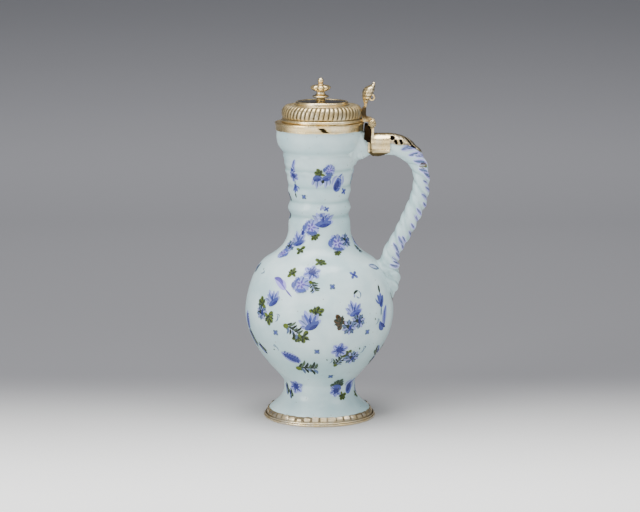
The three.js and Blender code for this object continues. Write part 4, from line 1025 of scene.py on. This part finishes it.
# Mouth band
# A strip of silver-gilt sheet soldered into a ring round the mouth, flared to a soft bead at the top.
# Its lower edge waves a little, and there is an old tear in front, pushed in and painted dark inside as
# shade.
gilt = silver_gilt("silver_gilt", "#ebd19a", "#f0e3c0", "#40351f", wear=0.42, rough=0.26)
band = spun([
    (36.65, 248.4), (36.9, 248.15), (37.25, 248.2), (37.4, 248.6),
    *curve((37.4, 248.6), (37.3, 249.5), (37.4, 251), (37.5, 252), 6), (37.65, 252.9), (37.9, 253.5),
    (37.95, 254.2), (37.8, 254.65), (37.5, 254.8), (37.2, 254.75), (37.15, 254), (36.75, 251.5),
], 256)
recess_shade_and_dirt = band.verts.layers.float.new("recess_shade_and_dirt")
tear_x, tear_z = 3.6, 250.9
tear_half_length, tear_half_height = 5, 2.3
tear_slope = 0.4
for corner in band.verts:
    turn = math.atan2(corner.co.y, corner.co.x)
    height = corner.co.z / MM
    if height < 250:
        corner.co.z += MM * (0.18 * math.sin(7 * turn) + 0.12 * math.sin(17 * turn)) * (250 - height) / 2
    corner.co += outward(corner) * MM * 0.08 * noise.noise(corner.co * 120)
    # Painted shade on the inner face and in the crease under the bead.
    corner[recess_shade_and_dirt] = 0.5 * (corner.co.xy.length < 0.037) + 0.25 * bell(height - 252.7, 0.3)
    along = (corner.co.x / MM - tear_x) / tear_half_length
    drop = (height - tear_z + tear_slope * (corner.co.x / MM - tear_x)) / tear_half_height
    if corner.co.y < 0 and abs(along) + abs(drop) < 1:
        corner[recess_shade_and_dirt] = 1
        corner.co.y += 0.35 * MM * (1 - abs(along))
add_piece("mouth_band", band, gilt, "jug", ["rim_band"])

# Mouth lip cover
# A flat ring of the same sheet that covers the ceramic lip and turns down inside the mouth. It only
# shows when the lid is open.
lip_cover = spun([
    (31.1, 249.6), (31.5, 249.5), (31.9, 249.6), (31.9, 253.6), (32.2, 254.0), (36.85, 254.0), (36.85, 254.6),
    (36.6, 254.8), (31.9, 254.8), *curve((31.9, 254.8), (31.4, 254.75), (31.1, 254.4), (31.1, 253.9), 4),
], 160)
add_piece("mouth_lip_cover", lip_cover, gilt, "jug", ["rim_lip"])

# Lid flange
# The cast and turned lower moulding of the lid: one half-round, and a wall inside the dome's edge.
# The hinge is worn, so the mouldings sit two millimetres towards the handle.
lid_shift = Vector((2.1, 0, 0)) * MM
flange = spun([
    (31.9, 255.1), (33.6, 255.1), *curve((33.6, 255.1), (34.7, 255.2), (34.9, 257.4), (33.9, 257.9), 8),
    (33.4, 258.0), (33.1, 258.15), (32.3, 258.2), (32.25, 261.2), (31.9, 261.3),
], 200)
# Painted shade on the flange's top, under the dome's edge, and on its underside on the mouth.
mark(flange, "recess_shade_and_dirt", lambda x, y, z: 0.7 * (z > 257.95) + 0.4 * (z < 255.4))
add_piece("lid_moulding", flange, gilt, "lid", ["lid_flange"], shift=lid_shift)

# Lid bezel
# A plain ring of sheet under the lid that drops inside the mouth and keeps the lid central.
bezel = spun([(29.8, 250.8), (30.0, 250.6), (30.4, 250.6), (30.6, 250.8), (30.6, 260.9), (29.8, 260.9)], 128)
add_piece("lid_bezel_ring", bezel, gilt, "lid", ["lid_bezel"])

# Lid dome
# Raised from sheet with the hammer, then chased from the front with 52 slanting gadroons. Dirt and old
# polish lie in the grooves and in the hollow moulding above them, which are also darkened with painted shade.
gadroons = 52
gadroon_depth = 0.8
gadroon_slant = 0.03
dome_z = 258.3
dome_outline = through([
    (33.0, dome_z), (33.4, 258.9), (33.8, 260.4), (34.0, 262.4), (33.8, 264.4), (33.1, 266.4), (31.8, 267.9),
    (30.2, 268.9), (28.6, 269.3), (27.2, 269.3), (26.4, 269.0), (25.2, 268.9), (23.8, 269.2), (22.9, 269.7),
    (21.95, 270.0),
], 2)
dome_inner = [(21.95, 269.2), (25.2, 268.1), (28.2, 268.5), (30.2, 267.6), (31.7, 266), (32.4, 263.6),
              (32.4, 261), (32.4, dome_z)]
dome = spun(dome_outline + dome_inner, gadroons * 10)
recess_shade_and_dirt = dome.verts.layers.float.new("recess_shade_and_dirt")
for corner in dome.verts:
    radius = corner.co.xy.length / MM
    height = corner.co.z / MM
    turn = math.atan2(corner.co.y, corner.co.x)
    outer_side = radius > 21.9 and (radius > 32.9 or height > 268.85 or radius + height > 299)
    if height > dome_z + 0.2 and outer_side:
        rise = within((height - dome_z - 0.2) / 1.4) * within((radius - 27.2) / 2.2)
        phase = gadroons / 2 * (turn - gadroon_slant * (height - 264) / 4.5)
        groove = 1 - abs(math.cos(phase))
        number = round(phase / math.pi)
        swell = 1 + 0.35 * math.sin(2.3 * number) * math.sin(0.7 * number)
        deep = gadroon_depth * rise * (groove ** 1.5 - 0.35 * swell)
        away = Vector((corner.co.x, corner.co.y, 0.5 * corner.co.xy.length * (height - 262.5) / 6))
        corner.co -= away.normalized() * deep * MM
        # Painted shade with dirt in the grooves, the hollow moulding and the lower edge, on a darker base
        # tone
        dirt_and_painted_shade = 0.75 * rise * groove ** 1.5 + 0.45 * bell(radius - 25.4, 1.2) + 0.5 * (height < dome_z + 0.5)
        corner[recess_shade_and_dirt] = min(1, 0.32 + dirt_and_painted_shade)
add_piece("lid_dome_gadrooned", dome, gilt, "lid", ["lid_dome"], crease=60, shift=lid_shift)

# Lid step ring and disc
# A bright turned ring stands round a flat plate, burnished like a mirror, that the finial stands on.
step_ring = spun([
    (20.4, 268.6), (22.4, 268.6), (22.5, 270.6),
    *curve((22.5, 270.6), (22.7, 272), (21.6, 272.5), (20.7, 272.35), 8), (20.4, 272.2),
], 160)
add_piece("lid_raised_ring", step_ring, gilt, "lid", ["lid_step_ring"], shift=lid_shift)
burnished = silver_gilt("burnished_silver_gilt", "#b9ab88", "#b4ae9c", "#3c3222", rough=0.1, flake=18)
disc = spun([
    (1.3, 271.5), (20.0, 271.4), (20.2, 271.6), (20.2, 272.0), (19.9, 272.15), (12, 272.2), (1.3, 272.2),
], 128)
add_piece("lid_plate", disc, burnished, "lid", ["lid_disc"], shift=lid_shift)

# Finial
# Three castings threaded on a rod: a waisted foot with a collar, a knop in eight lobes, and a ball.
# A washer and a nut inside the lid draw them tight. It stands half as far off the middle as the lid.
finial_shift = 0.5 * lid_shift
finial_foot = spun([
    (1.3, 272.5), (4.3, 272.5), (4.4, 272.8),
    *through([(4.1, 273.1), (3.4, 273.8), (3.3, 274.6), (4.4, 275.2), (6.1, 275.6), (7.0, 276.2),
              (7.0, 276.7), (6.2, 277.3), (4.9, 277.8), (4.1, 278.3), (3.7, 279.1), (3.6, 279.8)], 3),
    (3.6, 280.1), (1.3, 280.1),
], 64)
# Painted shade in the waist under the collar.
mark(finial_foot, "recess_shade_and_dirt", lambda x, y, z: 0.7 * bell(z - 274.3, 0.7) * (math.hypot(x, y) > 2))
add_piece("finial_reel", finial_foot, gilt, "lid", ["finial_foot"], shift=finial_shift)
lobes = 8
finial_knop = spun([
    (1.3, 280.4), (3.4, 280.4),
    *through([(3.6, 280.6), (4.6, 280.9), (6.2, 281.8), (7.5, 282.9), (7.9, 284.0), (7.4, 285.1),
              (6.0, 285.9), (4.4, 286.2), (3.2, 286.3), (2.6, 286.5)], 3),
    (2.5, 286.7), (1.3, 286.7),
], 128)
recess_shade_and_dirt = finial_knop.verts.layers.float.new("recess_shade_and_dirt")
for corner in finial_knop.verts:
    radius = corner.co.xy.length / MM
    turn = math.atan2(corner.co.y, corner.co.x)
    share = within((radius - 2.9) / 4)
    lobe = abs(math.cos(lobes / 2 * turn))
    grow = 1 + share * (1.15 * lobe - 0.45) / max(radius, 1)
    corner.co.x *= grow
    corner.co.y *= grow
    # Painted shade between the lobes.
    corner[recess_shade_and_dirt] = 0.8 * share * (1 - lobe) ** 2
add_piece("finial_lobed_knop", finial_knop, gilt, "lid", ["finial_knop"], crease=60,
          shift=finial_shift)
ball_centre = 289.6
ball_radius = 2.5
ball_round = [(ball_radius * math.cos(turn), ball_centre + ball_radius * math.sin(turn))
              for turn in map(math.radians, range(-50, 90, 10))]
finial_ball = spun([(0, ball_centre + 0.4), (1.3, ball_centre + 0.4), (1.3, 287), (2.1, 287), (2.2, 287.3),
                    (1.7, 287.5), *ball_round, (0, ball_centre + ball_radius)], 48, closed=False)
add_piece("finial_ball_top", finial_ball, gilt, "lid", ["finial_ball"], shift=finial_shift)
washer = spun([(1.3, 270.3), (3.8, 270.3), (4, 270.5), (4, 270.9), (3.8, 271.1), (1.3, 271.1)], 32)
add_piece("finial_washer_plain", washer, gilt, "lid", ["finial_washer"])
nut = spun([(1.3, 267.5), (3.1, 267.5), (3.2, 267.7), (3.2, 269.8), (3.1, 270.0), (1.3, 270.0)], 6)
add_piece("finial_nut_six_sided", nut, gilt, "lid", ["finial_nut"], crease=25)
dress("finial_rod", gilt)

# Hinge barrel
# Five drawn tubes on one pin: the first, third and fifth are soldered to the bracket on the handle, the
# second and fourth to the lid. The pin's ends are hidden by cast caps with a fan of flutes.
hinge_x = 44.7
hinge_z = 253.7
barrel_length = 19
barrel_bore = 1.6
ring_radius = 3.25
ring_edge = 0.3
ring_gap = 0.3
ring_length = (barrel_length - 4 * ring_gap) / 5


def on_hinge(bm, side, along=0):
    """Lays a piece turned about Z along the hinge's line, its top towards the side, -1 for the front."""
    laid = Matrix.Rotation(math.radians(-90 * side), 4, "X")
    place = Matrix.Translation(Vector((hinge_x, along, hinge_z)) * MM)
    bmesh.ops.transform(bm, matrix=place @ laid, verts=bm.verts)


for ring in range(5):
    low = -barrel_length / 2 + ring * (ring_length + ring_gap)
    high = low + ring_length
    tube = spun([(barrel_bore, low), (ring_radius - ring_edge, low), (ring_radius, low + ring_edge),
                 (ring_radius, high - ring_edge), (ring_radius - ring_edge, high), (barrel_bore, high)], 40)
    # Painted shade on the rings' end faces, in the gaps between them.
    mark(tube, "recess_shade_and_dirt", lambda x, y, z: 0.8 * (math.hypot(x, y) < ring_radius - 0.01))
    on_hinge(tube, 1)
    owner, body = ("lid", "lid") if ring % 2 else ("bracket", "jug")
    add_piece(f"barrel_ring_{ring + 1}", tube, gilt, body, [f"{owner}_knuckle_{ring // 2 + 1}"])
dress("hinge_pin", gilt)
fan_flutes = 9
for name, node, side in [("barrel_cap_front", "pin_cap_front", -1), ("barrel_cap_back", "pin_cap_back", 1)]:
    cap = spun([(0, 1.3), (1.6, 1.3), (1.6, 0.3), (3.0, 0.3), (3.1, 0.6),
                *curve((3.1, 0.6), (2.9, 1.5), (1.6, 1.9), (0, 1.9), 8)], 72, closed=False)
    recess_shade_and_dirt = cap.verts.layers.float.new("recess_shade_and_dirt")
    for corner in cap.verts:
        radius = corner.co.xy.length / MM
        turn = math.atan2(corner.co.y, corner.co.x)
        if corner.co.z > 0.59 * MM and 0.3 < radius:
            flute = 1 - abs(math.cos(fan_flutes / 2 * turn))
            corner.co.z -= 0.25 * MM * flute * min(1, radius / 2)
            # Painted shade in the flutes, on a darker tone over the whole fan.
            corner[recess_shade_and_dirt] = 0.35 + 0.65 * flute
    on_hinge(cap, side, side * barrel_length / 2)
    add_piece(name, cap, gilt, "jug", [node], crease=60)


# Hinge leaf and bracket
# The leaf is a cast strap between the lid and its two rings. The bracket is a yoke of thick sheet that
# straddles the sleeve and carries the other three. Both are filed, with edges softened by wear.
def softened(node, edge):
    """A copy of a CAD node as one closed mesh, its flat faces made whole and its edges bevelled."""
    bm = bmesh.new()
    bm.from_mesh(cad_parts[node].data)
    bmesh.ops.remove_doubles(bm, verts=bm.verts, dist=1e-6)
    bmesh.ops.dissolve_limit(bm, angle_limit=math.radians(2), verts=bm.verts, edges=bm.edges)
    sharp = [e for e in bm.edges if len(e.link_faces) == 2 and e.calc_face_angle() > math.radians(35)]
    bmesh.ops.bevel(bm, geom=sharp, offset=edge * MM, segments=2, profile=0.5, affect="EDGES", material=-1,
                    clamp_overlap=True)
    bmesh.ops.triangulate(bm, faces=[f for f in bm.faces if len(f.verts) > 4])
    return bm


# Tarnished silver-gilt: warm where a thumb rubs it, red-brown to black everywhere else
dark_gilt = silver_gilt("tarnished_silver_gilt", "#e0bd82", "#c9b48a", "#1f0e05", rough=0.32, flake=3)
filed_edge = 0.25
leaf = softened("lid_hinge_leaf", filed_edge)
leaf_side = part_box("lid_hinge_leaf")[1][1] / MM
for share in (-0.8, -0.4, 0, 0.4, 0.8):
    bmesh.ops.bisect_plane(leaf, geom=leaf.verts[:] + leaf.edges[:] + leaf.faces[:], dist=1e-6,
                           plane_co=(0, share * leaf_side * MM, 0), plane_no=(0, 1, 0))


def leaf_tarnish(x, y, z):
    """Dark on the leaf's edges, and rubbed along its middle; its underside is bright."""
    rubbed = 0.45 * (abs(y) < 0.82 * leaf_side) * (1 + 0.6 * noise.noise(Vector((x, y, z)) * 0.4))
    return max(0, 0.85 - rubbed) * (z > 258.5)


mark(leaf, "recess_shade_and_dirt", leaf_tarnish)
add_piece("hinge_leaf", leaf, dark_gilt, "lid", ["lid_hinge_leaf"], crease=30)
bracket = softened("hinge_bracket", filed_edge)
add_piece("hinge_yoke", bracket, gilt, "jug", ["hinge_bracket"], crease=30)

# The yoke's two cheeks: plates that fill the gap to the mouth, nearly black as painted shadow in that gap
cheek_outline = [(37.6, 241.2), (40.2, 239.0), (43.9, 237.6), (43.9, 249.9), (41.6, 250.6), (41.2, 252.6),
                 (38.8, 252.6), (38.0, 247)]
cheek_face = 11.0
cheek_thickness = 0.9
shadow_black_gilt = silver_gilt("silver_gilt_painted_shadow_black", "#7d5f38", "#6b5a48", "#150a05", rough=0.4, flake=4)
bm = bmesh.new()
for side in (-1, 1):
    face = bm.faces.new([bm.verts.new(Vector((x, side * cheek_face, z)) * MM) for x, z in cheek_outline])
    swept = bmesh.ops.extrude_face_region(bm, geom=[face])["geom"]
    inner = [v for v in swept if isinstance(v, bmesh.types.BMVert)]
    bmesh.ops.translate(bm, verts=inner, vec=(0, -side * cheek_thickness * MM, 0))
bmesh.ops.recalc_face_normals(bm, faces=bm.faces)
bmesh.ops.bevel(bm, geom=bm.edges[:], offset=0.2 * MM, segments=2, profile=0.5, affect="EDGES", material=-1)
# Nearly black all over: painted shadow.
mark(bm, "recess_shade_and_dirt", lambda x, y, z: 0.85 + 0.15 * noise.noise(Vector((x, y, z)) * 0.3))
add_piece("yoke_cheeks_painted_shadow", bm, shadow_black_gilt, "jug", [], crease=30)

# Thumbpiece
# Cast in two parts and soldered: a palmette that leans back over the hinge, fluted in front and ribbed
# behind like a shell, with a small ball at its tip, and a curled band behind it.
leaf_x = 36.6
thumb_z = 267.5
palmette_height = 19.4
palmette_flutes = 9
palmette_ribs = 6.2
flute_depth = 0.45
rib_height = 0.75
# Its front and its back from the axis, and half its width, at even steps up the palmette
palmette_stations = through([
    (37.7, 40.3, 2.6), (37.7, 40.8, 3.2), (37.2, 41.6, 5.0), (36.8, 43.3, 6.9), (36.8, 45.0, 7.9),
    (37.1, 46.1, 7.9), (39.2, 46.7, 6.6), (44.6, 46.9, 2.4),
], 6)


def palmette(u, v):
    """A point of the palmette: u goes round its section from the front, v goes up it."""
    at = v * (len(palmette_stations) - 1)
    low = min(int(at), len(palmette_stations) - 2)
    here, there = Vector(palmette_stations[low]), Vector(palmette_stations[low + 1])
    front_x, back_x, half_width = here.lerp(there, at - low)
    side, front = math.sin(2 * math.pi * u), -math.cos(2 * math.pi * u)
    fan = math.sin(math.pi * within((v - 0.1) / 0.95))
    flute = flute_depth * math.cos(palmette_flutes * math.asin(within(side, -1, 1))) * (front < 0) * fan
    ribs = rib_height * abs(math.sin(palmette_ribs * math.pi * v)) * (front >= -0.2) * fan
    depth = math.copysign(abs(front) ** 0.7, front) * ((back_x - front_x) / 2 + flute + ribs)
    spot = ((front_x + back_x) / 2 + depth, (half_width + 0.5 * ribs) * side, thumb_z + palmette_height * v)
    return Vector(spot) * MM


bm = bmesh.new()
mapped_grid(bm, 56, 60, palmette)
close_up(bm)
tip = bmesh.ops.create_uvsphere(bm, u_segments=20, v_segments=12, radius=1.2 * MM)["verts"]
bmesh.ops.translate(bm, verts=tip, vec=Vector((leaf_x + 9.6, 0, thumb_z + 19.9)) * MM)


def palmette_shade_and_dirt(x, y, z):
    """Painted shade and dirt between the ribs, and on the stem below them."""
    share = (z - thumb_z) / palmette_height
    valley = 1 - abs(math.sin(palmette_ribs * math.pi * share))
    return min(1, valley ** 2 * (0.3 < share < 0.95) + max(0, 0.35 - share))


mark(bm, "recess_shade_and_dirt", palmette_shade_and_dirt)
add_piece("thumbpiece_palmette", bm, gilt, "lid", ["thumbpiece_shell"], crease=50)
curl_x = 7.4
curl_z = 7.9
curl_radius = 3.9
curl_band = 1.7
curl_width = 6


def curl(u, v):
    """A point of the curled band's section, u round it, at v of the way along the curl."""
    turn = 2.1 - 6.4 * v
    middle = curl_radius * (1 - 0.5 * v) - curl_band / 2
    round_turn = 2 * math.pi * u
    across = curl_width / 2 * within(1.25 * math.cos(round_turn), -1) * (1 - 0.15 * v)
    reach = middle + curl_band / 2 * within(1.25 * math.sin(round_turn), -1)
    x = leaf_x + curl_x + reach * math.cos(turn)
    z = thumb_z + curl_z + reach * math.sin(turn)
    return Vector((x, across, z)) * MM


bm = bmesh.new()
mapped_grid(bm, 16, 48, curl)
close_up(bm)
add_piece("thumbpiece_curl", bm, gilt, "lid", ["thumbpiece_scroll"], crease=50)

# Sleeve on the handle
# Two pieces of sheet bent round the handle's root. The upper one is a saddle; the lower one is folded
# out along both sides, laid under the saddle's edges, and soldered there. Its cusped ends leave clay bare.
sleeve_x = 42.4
sleeve_length = 17.4
handle_z = 235.35
half_height = 9.85
half_width = 10
squareness = 2 / 2.5
seam_z = 232.4
sleeve_sheet = 0.6
# How far the saddle and the lower piece run on under the yoke
tucked = 1.4
fold_depth = 1.6
fold_inner = 9.4
fold_reach = 10.9


def sleeve_skin(turn, x):
    """A point of the sleeve's squared oval: turn in radians from the handle's far side, over the top."""
    across = math.copysign(abs(math.cos(turn)) ** squareness, math.cos(turn)) * half_width
    up = math.copysign(abs(math.sin(turn)) ** squareness, math.sin(turn)) * half_height
    hammer = 0.12 * noise.noise(Vector((x, across, up)) * 0.35)
    return Vector((x, across * (1 + 0.01 * hammer), handle_z + up + hammer)) * MM


seam_turn = math.asin((abs(seam_z - handle_z) / half_height) ** (1 / squareness))


def saddle(u, v):
    """A point of the upper piece: u goes over it from seam to seam, v along the handle."""
    turn = -seam_turn + u * (math.pi + 2 * seam_turn)
    start = sleeve_x - tucked * (1 - math.sin(turn) if 0 < turn < math.pi else 1)
    return sleeve_skin(turn, start + v * (sleeve_x + sleeve_length - start))


sleeve_middle = (sleeve_x + sleeve_length / 2, 0, handle_z)
bm = bmesh.new()
mapped_grid(bm, 64, 24, saddle)
sheet(bm, sleeve_sheet, sleeve_middle)


def saddle_shade_and_dirt(x, y, z):
    """Painted shade and dirt beside the yoke, on the crest under the strap, and along the seam."""
    crest = max(0, z - handle_z - 9.2) / 0.5
    return min(1, 0.8 * bell(x - sleeve_x - 1, 1.2) + crest + 0.6 * (z < seam_z + 0.4))


mark(bm, "recess_shade_and_dirt", saddle_shade_and_dirt)
add_piece("sleeve_upper", bm, gilt, "jug", ["sleeve_saddle"], crease=50)


def cradle(u, v):
    """A point of the lower piece: u goes under it from seam to seam, v along the handle."""
    turn = math.pi + seam_turn + u * (math.pi - 2 * seam_turn)
    x = sleeve_x - tucked + v * (sleeve_length + tucked)
    spot = sleeve_skin(turn, x)
    spot.z = min(spot.z, (seam_z - 0.3) * MM)
    spot.z -= 0.25 * MM * max(0, math.sin(1.9 * x) * math.sin(3.3 * x)) * math.sin(math.pi * u)
    return spot


bm = bmesh.new()
mapped_grid(bm, 96, 80, cradle)
cut_away = []
for face in bm.faces:
    middle = face.calc_center_median() / MM
    rise = max(0, (middle.x - 49) / 11, (47 - middle.x) / 6)
    cusped_edge = 4 * rise ** 1.4 + 0.5 * rise * abs(math.sin(1.1 * middle.x))
    if middle.z < handle_z - half_height - 0.1 + cusped_edge:
        cut_away.append(face)
bmesh.ops.delete(bm, geom=cut_away, context="FACES")
sheet(bm, sleeve_sheet, sleeve_middle)
fold_start = 1.2
for side in (-1, 1):
    fold = bmesh.ops.create_cube(bm, size=1)["verts"]
    size = Vector((sleeve_length - fold_start, fold_reach - fold_inner, fold_depth)) * MM
    middle = Vector((
        sleeve_x + fold_start + (sleeve_length - fold_start) / 2,
        side * (fold_reach + fold_inner) / 2,
        seam_z - 0.3 - fold_depth / 2,
    )) * MM
    bmesh.ops.transform(bm, matrix=Matrix.Translation(middle) @ Matrix.Diagonal((*size, 1)), verts=fold)
    rims = [e for e in bm.edges if e.verts[0] in fold and e.verts[1] in fold]
    bmesh.ops.bevel(bm, geom=rims, offset=0.5 * MM, segments=3, profile=0.5, affect="EDGES", material=-1)


def cradle_painted_shade(x, y, z):
    """Painted shade beside the yoke, and everywhere under the folds."""
    under = max(0, seam_z - fold_depth - 0.2 - z) / 2
    return min(0.9, 0.9 * under + 0.8 * bell(x - sleeve_x - 1.2, 1.2))


mark(bm, "recess_shade_and_dirt", cradle_painted_shade)
add_piece("sleeve_lower", bm, gilt, "jug", ["sleeve_underplate"], crease=50)

# Pierced strap
# A leaf of thin silver-gilt sheet, pressed along the handle's back to its bend, narrowing to a tip and
# pierced on both sides. It is rubbed nearly to silver. The piercings are pressed-in pits painted black,
# and the chased veins are darkened with painted shade and dirt.
strap_length = 25.0
strap_bend = 8.5
strap_sheet = 0.4
vein_pitch = 3.4
# How far along each piercing is, in millimetres, how far round in radians, and its radius
holes = [
    (2.4, 0.8, 2.1), (5.4, 1.1, 1.3), (6.4, 1.25, 1.1), (9.4, 0.95, 1.3), (10.6, 1.1, 1.2), (12.4, 0.3, 1.1),
    (14, 0.42, 1.1), (15.6, 0.53, 1.1), (17.2, 0.62, 1.1), (18.8, 0.68, 1.1), (20.4, 0.7, 1),
]
strap_silver = silver_gilt("strap_worn_to_silver", "#cfb67c", "#c0b298", "#100c08", wear=0.54, rough=0.28,
                           flake=4)
strap_from = next(i for i, spot in enumerate(handle_line) if spot[0] > sleeve_x + sleeve_length - 0.9)
strap_to = next(i for i, gone in enumerate(handle_travel) if gone - handle_travel[strap_from] > strap_length)


def strap_turn(u, v):
    """How far round from the handle's back a point of the leaf lies, in radians."""
    return (2 * u - 1) * math.radians(12 + 76 * (1 - v) ** 0.5 * (1 - 0.12 * math.cos(8 * v)))


def engraved(v, turn):
    """How deep the leaf's chased veins are there, from 0 to 1: chevrons that point to its tip."""
    vein = ((v * strap_length - 4.5 * abs(turn)) / vein_pitch) % 1
    depth = max(0, 1 - abs(vein - 0.5) / 0.16) + max(0, 1 - abs(turn) * strap_bend / 0.6)
    return min(1, depth) * (v > 0.06)


def from_holes(v, turn):
    """How far a point of the leaf is from the middle of each piercing, in the piercing's radii."""
    return [math.hypot(v * strap_length - along, (turn - side * round_turn) * strap_bend) / size
            for along, round_turn, size in holes for side in (-1, 1)]


def strap_spot(u, v):
    """A point of the leaf: u goes across it, v along the handle."""
    turn = strap_turn(u, v)
    share = (strap_from + v * (strap_to - strap_from)) / handle_last
    lift = 1 - 0.55 * sum(within((1.25 - apart) / 0.4) for apart in from_holes(v, turn))
    rim = min(1, min(u, 1 - u, v, 1 - v) * 12)
    lap = 0.35 * max(0, 1 - 12 * v) - 0.16 * engraved(v, turn)
    return handle_spot(share, turn, 0.35 + lap + 0.75 * lift * (0.6 + 0.4 * rim))


bm = bmesh.new()
recess_shade_and_dirt = bm.verts.layers.float.new("recess_shade_and_dirt")
columns, rows = 72, 60
for index, corner in enumerate(mapped_grid(bm, columns, rows, strap_spot)):
    u, v = index % (columns + 1) / columns, index // (columns + 1) / rows
    turn = strap_turn(u, v)
    pierced = max(within((1.3 - apart) / 0.3) for apart in from_holes(v, turn))
    # Painted black in the piercings, and painted shade with dirt in the veins.
    corner[recess_shade_and_dirt] = max(0.55 * engraved(v, turn), pierced)
sheet(bm, strap_sheet, (62, 0, 226))
add_piece("handle_strap_pierced", bm, strap_silver, "jug", ["handle_strap"], crease=50)
